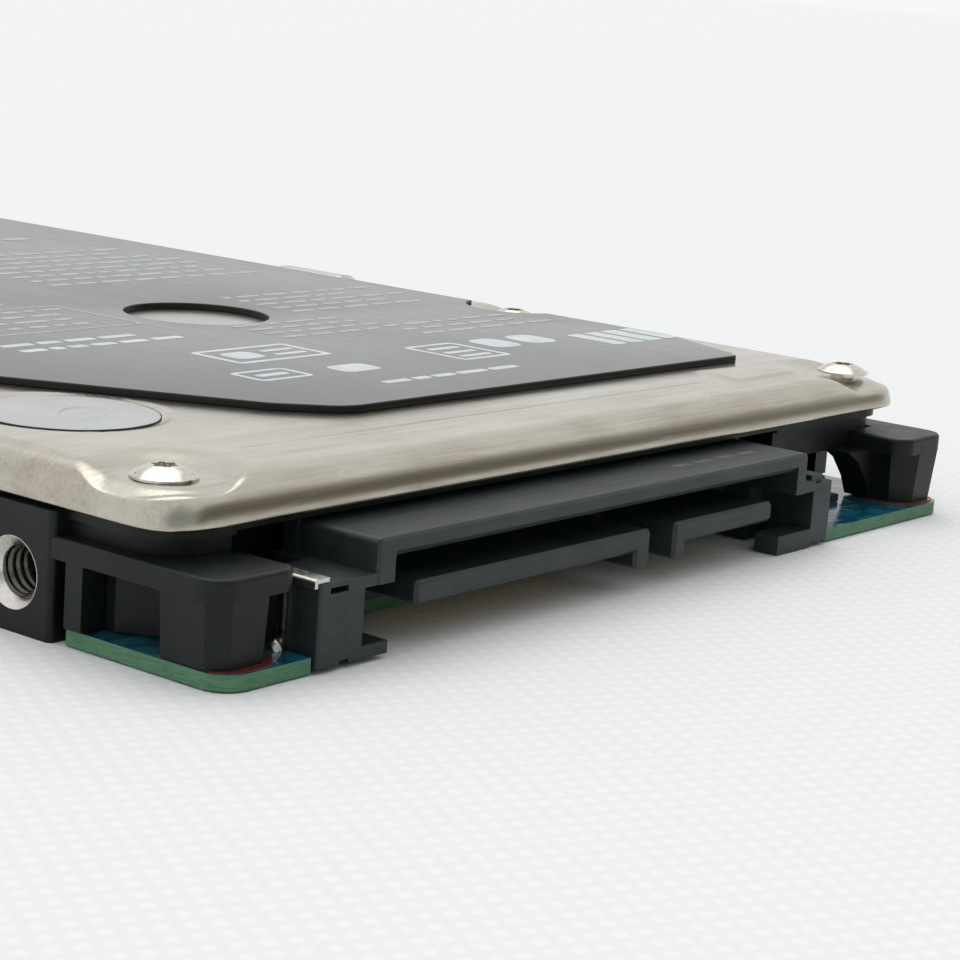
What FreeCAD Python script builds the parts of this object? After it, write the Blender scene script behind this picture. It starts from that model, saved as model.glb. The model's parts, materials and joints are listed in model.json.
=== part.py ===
import FreeCAD, Part
import math
import os

# Hard disk drive, 2.5-inch class, 9.5 mm high, serial data and power connector.
# Frame: origin at the middle of the bottom face, +Z up through the cover, +Y along the length
# away from the connector, +X to the right when the connector end is nearest.
# All sizes in millimetres.

# ---------------------------------------------------------------- driving dimensions
W = 69.85            # width over the side rails
HW = W / 2.0
H = 9.50             # height, bottom face to the highest screw head
Y_TIP = -50.5        # tip of the connector tongues
Y_END = -49.7        # connector-end datum of the hole pattern
PCB_Y0 = -50.2       # front edge of the circuit board
Y_BACK = 50.2        # far end
HOLE_Y = (Y_END + 14.0, Y_END + 90.6)   # mounting holes from the connector-end datum
HOLE_Z = 3.0         # side hole height over the bottom face
HOLE_X = 61.72 / 2   # bottom hole half spacing
M3_R = 1.35          # wall radius of the tapped holes
M3_DEEP = 2.5        # side hole depth
M3_DEEP_B = 2.6      # bottom hole depth
CH = 0.55            # mouth chamfer of the tapped holes
PCB_Z0, PCB_T = 0.1, 0.8
PCB_TOP = PCB_Z0 + PCB_T
BAY_Z = 2.3          # underside of the casting over the circuit board
FLOOR_Z = 3.1        # floor of the disc chamber
RAIL_TOP = 6.75      # top of the ledge under the cover skirt
WALL_TOP = 8.25      # top of the chamber wall
COV_T = 0.5          # cover sheet thickness
COV_TOP = 9.05
COV_BOT = 6.85       # lower edge of the cover skirt
COV_X = 34.75
COV_Y0, COV_Y1 = -46.4, 49.9
COV_R = 2.5
PLATE_T = 0.43       # damping plate on the cover
PLATE_TOP = COV_TOP + PLATE_T
SPX, SPY = 0.0, 15.5  # spindle axis
DISC_R, DISC_T, DISC_ID = 32.5, 0.635, 10.0
DISC1_Z, DISC2_Z = 4.0, 6.3
PVX, PVY = 13.1, -24.9  # actuator pivot axis
ARM_L = 33.0
PARK_DEG = 57.1      # direction of the parked arm
COIL_DEG = 197.0     # direction of the voice coil when parked
SWEEP = 35.0         # travel of the actuator
CUR_X = 31.3         # cover screws, half spacing
COVER_SCREWS = [(-CUR_X, -42.3), (31.0, -43.5), (-CUR_X, -15.0), (CUR_X, -15.0), (-CUR_X, 46.3), (CUR_X, 46.3)]
PROUD = [0.0, 0.32, 0.0, 0.0, 0.0, 0.0]   # how far each head stands off its seat
HEAD = [0.62, 0.58, 0.62, 0.62, 0.62, 0.62]   # height of each head over its seat
BOSS_X, BOSS_Y = 32.4, -47.4              # circuit board posts at the connector end
# serial connector
TONGUE_T = 1.23
TONGUE_Z = 2.40      # underside of the tongues
PWR = (-21.495, -0.925)
SIG = (1.485, 11.895)
PITCH = 1.27
KEY_Z = 1.45         # lower end of the polarising feet
ROOF = (-24.55, 15.65, 5.15, 6.2)
TOWER_L = (-28.6, -25.4)
TOWER_R = (16.75, 18.95)
BACK_Y0, BACK_Y1 = -45.2, -44.3   # rear wall of the connector housing

V = FreeCAD.Vector
os.makedirs("parts", exist_ok=True)
for old in os.listdir("parts"):
    if old.endswith(".step"):
        os.remove(os.path.join("parts", old))


# ---------------------------------------------------------------- helpers
def box(x0, y0, z0, x1, y1, z1):
    x0, x1 = min(x0, x1), max(x0, x1)
    y0, y1 = min(y0, y1), max(y0, y1)
    return Part.makeBox(x1 - x0, y1 - y0, z1 - z0, V(x0, y0, z0))


def cyl(cx, cy, z0, z1, r):
    return Part.makeCylinder(r, z1 - z0, V(cx, cy, z0))


def cylx(x0, x1, cy, cz, r):
    return Part.makeCylinder(r, abs(x1 - x0), V(min(x0, x1), cy, cz), V(1, 0, 0))


def cone(cx, cy, z0, z1, r0, r1):
    return Part.makeCone(r0, r1, z1 - z0, V(cx, cy, z0))


def ring(cx, cy, z0, z1, r0, r1):
    return cyl(cx, cy, z0, z1, r1).cut(cyl(cx, cy, z0 - 1, z1 + 1, r0))


def prism(pts, z0, z1):
    w = Part.makePolygon([V(x, y, z0) for x, y in pts] + [V(pts[0][0], pts[0][1], z0)])
    return Part.Face(w).extrude(V(0, 0, z1 - z0))


def prism_yz(pts, x0, x1):
    w = Part.makePolygon([V(x0, y, z) for y, z in pts] + [V(x0, pts[0][0], pts[0][1])])
    return Part.Face(w).extrude(V(x1 - x0, 0, 0))


def prism_xz(pts, y0, y1):
    w = Part.makePolygon([V(x, y0, z) for x, z in pts] + [V(pts[0][0], y0, pts[0][1])])
    return Part.Face(w).extrude(V(0, y1 - y0, 0))


def rrect(x0, y0, x1, y1, z0, z1, r):
    # vertical prism with a rounded rectangle as its outline; r is one radius or four (lower left, lower right, upper right, upper left)
    rr = r if isinstance(r, (list, tuple)) else (r, r, r, r)
    c = [(x0, y0, 180), (x1, y0, 270), (x1, y1, 0), (x0, y1, 90)]
    s = [(1, 1), (-1, 1), (-1, -1), (1, -1)]
    edges = []
    ends = []
    for (cx, cy, a), (sx, sy), q in zip(c, s, rr):
        if q > 1e-6:
            o = (cx + sx * q, cy + sy * q)
            p = [V(o[0] + q * math.cos(math.radians(a + t)), o[1] + q * math.sin(math.radians(a + t)), z0) for t in (0, 45, 90)]
            ends.append((p[0], p[2], p))
        else:
            ends.append((V(cx, cy, z0), V(cx, cy, z0), None))
    for i in range(4):
        a, b, p = ends[i]
        if p:
            edges.append(Part.Arc(*p).toShape())
        n = ends[(i + 1) % 4][0]
        if (n - b).Length > 1e-6:
            edges.append(Part.LineSegment(b, n).toShape())
    return Part.Face(Part.Wire(edges)).extrude(V(0, 0, z1 - z0))


def sector(cx, cy, r0, r1, a0, a1, z0, z1):
    def at(r, a):
        return V(cx + r * math.cos(math.radians(a)), cy + r * math.sin(math.radians(a)), z0)
    m = (a0 + a1) / 2
    e = [Part.Arc(at(r1, a0), at(r1, m), at(r1, a1)).toShape(), Part.LineSegment(at(r1, a1), at(r0, a1)).toShape(),
         Part.Arc(at(r0, a1), at(r0, m), at(r0, a0)).toShape(), Part.LineSegment(at(r0, a0), at(r1, a0)).toShape()]
    return Part.Face(Part.Wire(e)).extrude(V(0, 0, z1 - z0))


def ngon(cx, cy, r, n, z, turn=0.0):
    return [V(cx + r * math.cos(math.radians(turn + 360.0 * i / n)), cy + r * math.sin(math.radians(turn + 360.0 * i / n)), z) for i in range(n)]


def post_section(s, grow, z):
    """Plan of a board post: a long outer flat, a small front facet and wider inner ones; grow shrinks it towards the foot."""
    g = 2.365 - grow
    pts = [(-g - 0.005, 1.53), (-g - 0.005, -1.44 + 0.4 * grow), (-g + 0.925, -g - 0.005), (0.98, -g), (g, -0.98), (g, 0.98), (0.98, g), (-g + 0.87, g)]
    pts = [(s * BOSS_X - s * x, BOSS_Y + y) for x, y in pts]
    return [V(x, y, z) for x, y in (pts if s < 0 else pts[::-1])]


def loft(a, b):
    return Part.makeLoft([Part.makePolygon(a + [a[0]]), Part.makePolygon(b + [b[0]])], True, True)


def fuse(items):
    s = items[0]
    if len(items) > 1:
        s = s.fuse(items[1:])
    return s.removeSplitter()


def cut(s, items):
    return s.cut(items)


def turned(s, deg, cx, cy):
    s = s.copy()
    s.rotate(V(cx, cy, 0), V(0, 0, 1), deg)
    return s


def z_edges(s, test, tol=1e-4):
    out = []
    for e in s.Edges:
        bb = e.BoundBox
        if bb.XLength < tol and bb.YLength < tol and bb.ZLength > 0.1 and test(bb.XMin, bb.YMin):
            out.append(e)
    return out


def try_fillet(s, r, edges):
    if not edges:
        return s
    try:
        f = s.makeFillet(r, edges)
        if f.isValid() and f.Volume > 0:
            return f
    except Exception:
        pass
    return s


def try_chamfer(s, r, edges):
    if not edges:
        return s
    try:
        f = s.makeChamfer(r, edges)
        if f.isValid() and f.Volume > 0:
            return f
    except Exception:
        pass
    return s


def edges_at_z(s, z, tol=1e-3):
    return [e for e in s.Edges if abs(e.BoundBox.ZMin - z) < tol and abs(e.BoundBox.ZMax - z) < tol]


def export(name, shape):
    solids = shape.Solids
    shape = solids[0] if len(solids) == 1 else Part.makeCompound(solids)
    ok = shape.isValid()
    bb = shape.BoundBox
    print("%-26s solids %2d vol %9.3f  x %7.2f %7.2f  y %7.2f %7.2f  z %6.2f %6.2f %s" % (
        name, len(solids), shape.Volume, bb.XMin, bb.XMax, bb.YMin, bb.YMax, bb.ZMin, bb.ZMax, "" if ok else "INVALID"))
    shape.exportStep("parts/%s.step" % name)


# ---------------------------------------------------------------- chamber (the sealed space inside the casting)
chamber = cyl(SPX, SPY, FLOOR_Z, 9.0, 33.4).common(box(-33.0, -30, 0, 33.0, 49.0, 10))
front_room = prism([(-31.6, 4), (-31.6, -36.6), (-27.8, -39.0), (-27.8, -41.9), (18.2, -41.9), (18.2, -38.2), (31.6, -36.6), (31.6, 4)], FLOOR_Z, 9.0)
parking_room = box(27.0, -9.0, FLOOR_Z, 33.0, 9.5, 9.0)
chamber = fuse([chamber, front_room, parking_room])
for sx, sy in COVER_SCREWS:
    chamber = chamber.cut(fuse([cyl(sx, sy, 0, 9.5, 2.5), box(sx, sy - 2.5, 0, sx + (4 if sx > 0 else -4), sy + 2.5, 9.5)]))
well = cyl(SPX, SPY, 0.95, FLOOR_Z + 0.5, 10.75)     # motor well

# ---------------------------------------------------------------- base casting
tub = rrect(-33.8, -45.4, 33.8, 49.1, BAY_Z, WALL_TOP, 3.0)
low = rrect(-HW, -38.6, HW, Y_BACK, 0.0, RAIL_TOP - 0.55, (0.35, 0.35, 3.0, 3.0))
ledge = rrect(-34.1, -45.7, 34.1, 49.6, RAIL_TOP - 0.55, RAIL_TOP, 3.0)
rail_shoulder = rrect(-HW, -38.6, HW, Y_BACK, RAIL_TOP - 0.56, RAIL_TOP - 0.15, (0.35, 0.35, 3.0, 3.0))
beam = []
for s in (-1, 1):
    arm = fuse([box(s * HW, -46.2, 4.3, s * 32.2, -38.5, 5.4), box(s * HW, -49.8, 4.3, s * 29.2, -45.3, 5.4)])
    arm = try_fillet(arm, 1.45, z_edges(arm, lambda x, y: abs(abs(x) - HW) < 1e-3 and y < -49))
    arm = try_fillet(arm, 1.2, z_edges(arm, lambda x, y: abs(abs(x) - 29.2) < 1e-3 and y < -49))
    arm = try_fillet(arm, 0.22, edges_at_z(arm, 5.4))
    beam.append(arm)
    # tapered post down to the board, with faceted sides
    beam.append(loft(post_section(s, 0.24, PCB_TOP + 0.07), post_section(s, 0.0, 4.35)))
    # web from the post back to the casting
    beam.append(prism_yz([(-46.2, 4.4), (-46.2, 2.4), (-45.6, 2.0), (-44.6, 4.4)], s * 33.2, s * 31.4))
    # rib beside the side opening
    beam.append(box(s * (HW - 0.02), -40.75, PCB_TOP + 0.1, s * 33.4, -39.55, 4.4))
casting = fuse([tub, low, ledge, rail_shoulder] + beam)
cuts = [chamber, well]
# space for the circuit board and its components
cuts.append(box(-29.3, -60, -1, 29.3, 1.3, BAY_Z))
cuts.append(box(-36, -60, -1, 36, -38.85, PCB_TOP + 0.06))
cuts.append(box(-33.4, -39.6, -1, 33.4, -39.0, BAY_Z))
# open corners under the tub at the connector end
cuts.append(box(-32.6, -45.41, 0, -29.0, -41.2, 4.3))
cuts.append(box(-33.9, -45.41, 0, -32.6, -40.75, 4.3))
cuts.append(box(19.6, -45.41, 0, 33.9, -39.55, 4.3))
cuts.append(box(-33.4, -41.2, 0, -30.6, -39.5, 4.3))
# connector bay
cuts.append(box(-29.6, -45.95, 0, 19.6, -43.3, 6.4))
cuts.append(box(-29.6, -49.0, 0, 19.6, -45.9, 6.1))
casting = cut(casting, cuts)
# keep the posts where the opening cuts reached them
posts = []
for s in (-1, 1):
    posts.append(loft(post_section(s, 0.24, PCB_TOP + 0.07), post_section(s, 0.0, 4.4)))
    posts.append(box(s * (HW - 0.02), -40.75, PCB_TOP + 0.1, s * 33.4, -39.55, 4.4))
# slanted inner facet of the left opening
posts.append(prism([(-33.3, -40.7), (-33.3, -41.4), (-31.4, -44.9), (-29.3, -44.9), (-29.3, -41.1), (-30.7, -41.1), (-30.7, -40.7)], PCB_TOP + 0.1, 4.35))
# sloping web that joins the right post to the casting
posts.append(prism_xz([(31.2, PCB_TOP + 0.12), (29.9, PCB_TOP + 0.12), (29.2, 2.3), (27.9, 3.7), (26.6, 4.4), (31.2, 4.4)], -47.1, -45.2))
# small peg beside the connector
posts.append(cone(23.4, -45.0, 3.1, 4.6, 0.33, 0.45))
casting = fuse([casting] + posts)
# underside of the rear half: a shallow pocket round the motor boss, with ribs
pocket = box(-28.6, 1.25, -1, 28.6, 45.6, 0.75)
keep = [cyl(SPX, SPY, -2, 2, 12.6), cyl(SPX, SPY, -2, 2, 20.5).cut(cyl(SPX, SPY, -3, 3, 19.3))]
for a in (0, 45, 90, 135, 180, 225, 270, 315):
    keep.append(turned(box(12, SPY - 0.5, -2, 19.6, SPY + 0.5, 2), a, SPX, SPY))
keep.append(box(-29.5, 39.0, -2, -20.0, 40.2, 2))
keep.append(box(20.0, 39.0, -2, 29.5, 40.2, 2))
pocket = pocket.cut(fuse(keep))
boss_top = cyl(SPX, SPY, -1, 0.3, 13.0).cut(cyl(SPX, SPY, -2, 2, 10.4))
casting = cut(casting, [pocket, cyl(SPX, SPY, -1, 0.28, 10.4)])
# lightening pockets in the rear corners of the upper face
for s in (-1, 1):
    casting = casting.cut(prism([(s * 20.5, 46.9), (s * 27.6, 46.9), (s * 27.6, 42.4), (s * 25.4, 42.4)], 4.4, 9.0))
# tapped mounting holes
holes = []
for y in HOLE_Y:
    for s in (-1, 1):
        holes.append(cylx(s * (HW + 1), s * (HW - M3_DEEP), y, HOLE_Z, M3_R))
        holes.append(Part.makeCone(M3_R + CH + 0.02, M3_R, CH + 0.02, V(s * (HW + 0.02), y, HOLE_Z), V(-s, 0, 0)))
        holes.append(cyl(s * HOLE_X, y, -1, M3_DEEP_B, M3_R))
        holes.append(cone(s * HOLE_X, y, -0.02, 0.45, M3_R + 0.47, M3_R))
# screw holes
for sx, sy in COVER_SCREWS:
    holes.append(cyl(sx, sy, 5.6, 9, 0.82))
for s in (-1, 1):
    holes.append(cyl(s * BOSS_X, BOSS_Y, 0, 3.9, 0.72))
holes.append(cyl(SPX, SPY, -1, 4, 3.3))          # bearing sleeve seat
holes.append(cyl(PVX, PVY, 2.9, 4, 1.6))         # pivot seat
holes.append(cyl(-24.0, -8.0, 2.0, 4, 0.6))      # breather passage
casting = cut(casting, holes)
# seat for the head of each cover screw boss, lower than the wall so the dished cover corner clears it
for sx, sy in COVER_SCREWS:
    d = 3.9
    casting = casting.cut(cyl(sx, sy, 8.02, 9, 4.35).cut(box(-40, -60, 7, 40, 60, 8.0)))
bore_posts = [cyl(PVX, PVY, FLOOR_Z - 0.2, 3.45, 3.0).cut(cyl(PVX, PVY, 2.5, 4, 1.6))]
casting = fuse([casting] + bore_posts)
casting = max(casting.Solids, key=lambda q: q.Volume)
export("base_casting", casting)

# ---------------------------------------------------------------- cover and what is on it
co = rrect(-COV_X, COV_Y0, COV_X, COV_Y1, COV_BOT, COV_TOP, COV_R)
co = try_fillet(co, 1.35, edges_at_z(co, COV_TOP))
ci = rrect(-COV_X + COV_T, COV_Y0 + COV_T, COV_X - COV_T, COV_Y1 - COV_T, COV_BOT - 1, COV_TOP - COV_T, COV_R - COV_T)
ci = try_fillet(ci, 0.45, edges_at_z(ci, COV_TOP - COV_T))
cover = co.cut(ci)
env = rrect(-COV_X + 0.05, COV_Y0 + 0.05, COV_X - 0.05, COV_Y1 - 0.05, COV_BOT, 9.2, COV_R)
dish_cut, dish_add = [], []
for sx, sy in COVER_SCREWS:
    dish_cut.append(cone(sx, sy, 8.6, COV_TOP + 0.02, 2.75, 3.25))
    dish_add.append(cyl(sx, sy, 8.1, 8.75, 3.3).common(env))
cover = fuse([cover] + dish_add)
cover = cut(cover, dish_cut)
for sx, sy in COVER_SCREWS:
    cover = cover.cut(cyl(sx, sy, 7, 10, 1.05))
# raised pads and the round recess of the seal
pad1 = prism([(19.4, -42.6), (28.6, -42.6), (28.2, -39.0), (20.6, -38.6)], COV_TOP - 0.05, COV_TOP + 0.14)
pad1 = try_fillet(pad1, 0.9, z_edges(pad1, lambda x, y: True))
pad1 = try_chamfer(pad1, 0.12, edges_at_z(pad1, COV_TOP + 0.14))
pad2 = rrect(31.9, 2.6, 33.9, 9.9, COV_TOP - 0.4, COV_TOP + 0.3, 0.7)
pad2 = try_chamfer(pad2, 0.15, edges_at_z(pad2, COV_TOP + 0.3))
ridge1 = prism_yz([(-41.9, COV_TOP - 0.02), (-41.5, COV_TOP + 0.09), (-41.0, COV_TOP + 0.09), (-40.6, COV_TOP - 0.02)], -22.0, 17.5)
cover = fuse([cover, pad1, pad2])
SEAL = (-25.4, -28.9)
cover = cover.cut(cyl(SEAL[0], SEAL[1], COV_TOP - 0.12, 10, 5.35))
cover = cover.cut(cyl(SEAL[0], SEAL[1], 7, 10, 1.3))
cover = max(cover.Solids, key=lambda q: q.Volume)
export("top_cover", cover)

seal = cyl(SEAL[0], SEAL[1], COV_TOP - 0.12, COV_TOP - 0.02, 4.9)
seal = try_chamfer(seal, 0.03, edges_at_z(seal, COV_TOP - 0.02))
export("round_seal", seal)

plate = prism([(-12.2, -37.2), (26.9, -37.6), (27.6, -36.8), (30.6, -29.5), (30.6, 46.0), (-30.6, 46.0), (-30.6, -9.6), (-23.4, -20.2), (-15.4, -34.2)], COV_TOP, PLATE_TOP)
plate = try_fillet(plate, 3.2, z_edges(plate, lambda x, y: abs(x + 12.2) < 0.01 or abs(x + 15.4) < 0.01))
plate = try_fillet(plate, 4.5, z_edges(plate, lambda x, y: abs(x + 30.6) < 0.01 and y < 0))
plate = try_fillet(plate, 2.0, z_edges(plate, lambda x, y: y > 45))
plate = try_fillet(plate, 0.5, z_edges(plate, lambda x, y: abs(x - 26.9) < 0.01 or abs(x - 27.6) < 0.01))
WINDOW = (5.3, -7.6, 4.95)
plate = plate.cut(cyl(WINDOW[0], WINDOW[1], 8, 10, WINDOW[2]))
for s in (-1, 1):
    plate = plate.cut(cyl(s * CUR_X, -15.0, 8, 10, 3.6))
    plate = plate.cut(cyl(s * CUR_X, 46.3, 8, 10, 3.6))
plate = plate.cut(rrect(31.2, 5.8, 36, 13.1, 8, 10, 0.6))
plate = max(plate.Solids, key=lambda q: q.Volume)
export("damping_plate", plate)

gask = rrect(-33.6, -45.2, 33.6, 48.9, WALL_TOP, COV_TOP - COV_T, 2.9)
gin = chamber.copy()
gask = gask.cut([gin, rrect(-32.4, -41.2, 32.4, 47.6, 0, 10, 2.0).cut(fuse([cyl(x, y, -1, 11, 3.9) for x, y in COVER_SCREWS]))])
gask = gask.cut([cyl(x, y, 0, 10, 4.4) for x, y in COVER_SCREWS] + [box(-40, -60, 0, 40, -44.9, 10)])
export("cover_gasket", Part.makeCompound([q for q in gask.Solids if q.Volume > 0.3]))


def cover_screw(sx, sy, up, tall):
    z = 8.6 + up
    rim, dome = 0.12, tall - 0.12
    u = (1.72 ** 2 - 0.78 ** 2 - dome ** 2) / (2 * dome)
    head = cyl(sx, sy, z, z + tall, 1.72).common(Part.makeSphere(math.hypot(1.72, u), V(sx, sy, z + rim - u)))
    star = fuse([cyl(sx, sy, z + tall - 0.24, z + 1, 0.52)] + [turned(cyl(sx + 0.52, sy, z + tall - 0.24, z + 1, 0.17), 60 * k, sx, sy) for k in range(6)])
    return fuse([head, cyl(sx, sy, 5.9 + up, z + 0.05, 0.8)]).cut(star)


export("cover_screws", Part.makeCompound([cover_screw(x, y, p, h) for (x, y), p, h in zip(COVER_SCREWS, PROUD, HEAD)]))

# ---------------------------------------------------------------- circuit board
CUT_X0, CUT_X1, CUT_Y = -28.75, 19.1, -44.2
board = rrect(-34.6, PCB_Y0, 34.6, -39.05, PCB_Z0, PCB_TOP, (1.6, 1.6, 0.6, 0.6))
board2 = prism([(-28.9, -39.7), (28.9, -39.7), (28.9, -3.0), (25.4, 0.6), (12.4, 0.6), (9.5, -2.2), (-9.5, -2.2), (-12.4, 0.6), (-25.4, 0.6), (-28.9, -3.0)], PCB_Z0, PCB_TOP)
board = fuse([board, board2]).cut(box(CUT_X0, -60, -1, CUT_X1, CUT_Y, 2))
board = try_fillet(board, 0.5, z_edges(board, lambda x, y: abs(y - CUT_Y) < 1e-3))
PCB_SCREWS = [(-BOSS_X, BOSS_Y), (BOSS_X, BOSS_Y), (-25.9, -8.2), (25.9, -8.2)]
for sx, sy in PCB_SCREWS:
    board = board.cut(fuse([cyl(sx, sy, -1, 2, 0.9), cone(sx, sy, PCB_Z0 - 0.01, PCB_Z0 + 0.61, 1.61, 0.9)]))
export("circuit_board", board)


def flat_screw(sx, sy, length):
    head = cone(sx, sy, PCB_Z0 + 0.02, PCB_Z0 + 0.6, 1.56, 0.88)
    drive = fuse([cyl(sx, sy, 0, PCB_Z0 + 0.3, 0.36)] + [turned(cyl(sx + 0.38, sy, 0, PCB_Z0 + 0.3, 0.13), 60 * k, sx, sy) for k in range(6)])
    return fuse([head, cyl(sx, sy, PCB_Z0 + 0.5, length, 0.7)]).cut(drive)


export("board_screws", Part.makeCompound([flat_screw(x, y, 3.6 if y < -40 else 2.2) for x, y in PCB_SCREWS]))
# annular copper lands under the posts
export("ground_lands", Part.makeCompound([ring(x, y, PCB_TOP, PCB_TOP + 0.06, 0.95, 2.7).common(box(-34.35, -49.95, 0, 34.35, -39, 2)) for x, y in PCB_SCREWS[:2]]))
# distance pieces of the two rear board screws
export("board_standoffs", Part.makeCompound([ring(x, y, PCB_TOP, BAY_Z, 0.75, 1.7) for x, y in PCB_SCREWS[2:]]))


def chip(x0, y0, x1, y1, h, z=None):
    z = PCB_TOP + 0.03 if z is None else z
    c = box(x0, y0, z, x1, y1, z + h)
    return try_chamfer(c, 0.07, edges_at_z(c, z + h))


export("controller_chip", chip(-9.0, -30.5, 3.0, -18.5, 0.95))
export("memory_chip", chip(6.0, -29.5, 14.0, -19.0, 0.85))
export("motor_driver_chip", chip(-19.0, -16.5, -12.0, -9.5, 0.85))
export("flash_chip", chip(17.0, -36.5, 22.0, -32.5, 0.8))
small = []
for k in range(7):
    small.append(chip(-25.0 + 1.7 * k, -37.4, -24.0 + 1.7 * k, -35.6, 0.5))
for k in range(6):
    small.append(chip(-26.5 + 1.3 * (k % 3), -28.0 + 2.4 * (k // 3), -25.7 + 1.3 * (k % 3), -26.4 + 2.4 * (k // 3), 0.45))
for k in range(5):
    small.append(chip(18.0 + 1.6 * k, -24.0, 18.9 + 1.6 * k, -22.4, 0.5))
for k in range(4):
    small.append(chip(-8.0 + 2.2 * k, -14.6, -6.4 + 2.2 * k, -12.2, 0.8))
for k in range(4):
    small.append(chip(22.0 + 1.5 * k, -46.2, 22.9 + 1.5 * k, -44.6, 0.5))
small.append(chip(5.0, -12.6, 8.0, -9.6, 1.1))
small.append(chip(10.0, -12.6, 13.0, -9.6, 1.1))
export("board_components", Part.makeCompound(small))
pads = [cyl(-20.0 + 2.1 * (k % 9), -33.0 + 2.6 * (k // 9), 0.06, PCB_Z0, 0.42) for k in range(27)]
pads += [cyl(8.0 + 1.9 * (k % 8), -16.0 + 2.2 * (k // 8), 0.06, PCB_Z0, 0.36) for k in range(24)]
export("test_pads", Part.makeCompound(pads))
film = box(-27.6, -43.0, 2.1, 28.4, -4.2, 2.2).cut([cyl(x, y, 0, 4, 2.3) for x, y in PCB_SCREWS[2:]] + [box(-30, -44, 0, 19.6, -41.4, 4)])
export("insulator_film", film)

# ---------------------------------------------------------------- serial connector
rx0, rx1, rz0, rz1 = ROOF
ZL = 4.5     # top of the guide towers
hs = []
roof = box(rx0, Y_TIP, rz0, rx1, BACK_Y1, rz1)
hs.append(roof)
hs.append(box(rx0, Y_TIP, 3.9, rx0 + 1.3, BACK_Y1, rz0 + 0.1))                # left leg
hs.append(box(rx1 - 1.1, Y_TIP, 3.65, rx1, BACK_Y1, rz0 + 0.1))               # right leg
hs.append(box(rx0 - 0.2, BACK_Y0, 1.15, rx1 + 0.2, BACK_Y1, rz1))             # rear wall
# left guide tower, its channel and foot
tl = box(TOWER_L[0], Y_TIP + 0.05, 0.3, TOWER_L[1], -46.4, ZL)
hs.append(tl)
hs.append(box(TOWER_L[1] - 0.1, Y_TIP + 0.05, 3.9, rx0 + 1.3, BACK_Y1, ZL))
hs.append(box(TOWER_L[1] - 0.1, Y_TIP + 0.05, 0.3, -23.45, -46.4, 0.95))
hs.append(box(TOWER_L[1] - 0.1, -46.9, 0.3, -23.9, BACK_Y1, ZL))
# right guide tower
tr = box(TOWER_R[0], Y_TIP + 0.05, 0.3, TOWER_R[1], -46.4, 4.1)
hs.append(tr)
hs.append(box(TOWER_R[0], Y_TIP + 0.3, 4.0, TOWER_R[0] + 1.25, -46.4, 4.6))
hs.append(box(rx1 - 0.2, Y_TIP + 0.05, 3.65, TOWER_R[0] + 0.1, BACK_Y1, 4.3))
hs.append(box(13.0, Y_TIP + 0.05, 0.15, TOWER_R[0] + 0.1, Y_TIP + 1.7, 1.25))
hs.append(box(15.0, -46.9, 0.1, TOWER_R[0] + 0.6, BACK_Y1, 4.3))
# tongues with their polarising feet
tz0, tz1 = TONGUE_Z, TONGUE_Z + TONGUE_T


def tongue(x0, x1, foot):
    t = box(x0, Y_TIP, tz0, x1, BACK_Y0 + 0.1, tz1)
    f = box(foot[0], Y_TIP, KEY_Z, foot[1], BACK_Y0 + 0.1, tz0 + 0.1)
    t = fuse([t, f])
    ye = [e for e in t.Edges if abs(e.BoundBox.XLength) < 1e-5 and abs(e.BoundBox.ZLength) < 1e-5 and e.BoundBox.YLength > 3]
    free = [e for e in ye if not (abs(e.BoundBox.ZMin - tz0) < 1e-3 and foot[0] - 0.01 < e.BoundBox.XMin < foot[1] + 0.01)]
    t = try_fillet(t, 0.28, free)
    lead = [e for e in t.Edges if abs(e.BoundBox.YMin - Y_TIP) < 1e-4 and abs(e.BoundBox.YMax - Y_TIP) < 1e-4 and e.BoundBox.XLength > 3]
    return try_chamfer(t, 0.2, lead)


hs.append(tongue(PWR[0], PWR[1], (PWR[1] - 1.42, PWR[1])))
hs.append(tongue(SIG[0], SIG[1], (SIG[0], SIG[0] + 1.2)))
housing = fuse(hs)
pins_p = [PWR[0] + (PWR[1] - PWR[0]) / 2 + PITCH * (k - 7) for k in range(15)]
pins_s = [SIG[0] + (SIG[1] - SIG[0]) / 2 + PITCH * (k - 3) for k in range(7)]
LONG = (3, 11)


def pin(x, y_tip):
    w = 0.42
    a = box(x - w, y_tip, TONGUE_Z - 0.14, x + w, BACK_Y1 + 0.6, TONGUE_Z)
    b = box(x - w, BACK_Y1 + 0.46, PCB_TOP + 0.16, x + w, BACK_Y1 + 0.6, TONGUE_Z)
    c = box(x - w, BACK_Y1 + 0.46, PCB_TOP + 0.02, x + w, -42.6, PCB_TOP + 0.16)
    return fuse([a, b, c])


pp = [pin(x, -49.3 if k in LONG else -48.8) for k, x in enumerate(pins_p)]
ps = [pin(x, -49.3 if k in (0, 3, 6) else -48.8) for k, x in enumerate(pins_s)]
housing = cut(housing, pp + ps)
# slot behind the left strap, small mould marks, lead-in bevels
housing = housing.cut(box(-27.9, Y_TIP - 1, 3.95, -26.6, -49.6, 4.25))
housing = housing.cut(box(-27.0, Y_TIP - 1, 0.2, -26.3, -49.7, 0.5))
ye = [e for e in housing.Edges if e.BoundBox.YLength > 3 and e.BoundBox.XLength < 1e-5 and e.BoundBox.ZLength < 1e-5
      and abs(e.BoundBox.ZMin - rz1) < 1e-3 and (abs(e.BoundBox.XMin - rx0) < 1e-3 or abs(e.BoundBox.XMin - rx1) < 1e-3)]
housing = try_fillet(housing, 0.3, ye)
lead = [e for e in housing.Edges if abs(e.BoundBox.YMin - Y_TIP) < 1e-4 and abs(e.BoundBox.YMax - Y_TIP) < 1e-4
        and e.BoundBox.XLength > 30 and abs(e.BoundBox.ZMin - rz1) < 1e-3]
housing = try_chamfer(housing, 0.14, lead)
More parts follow.
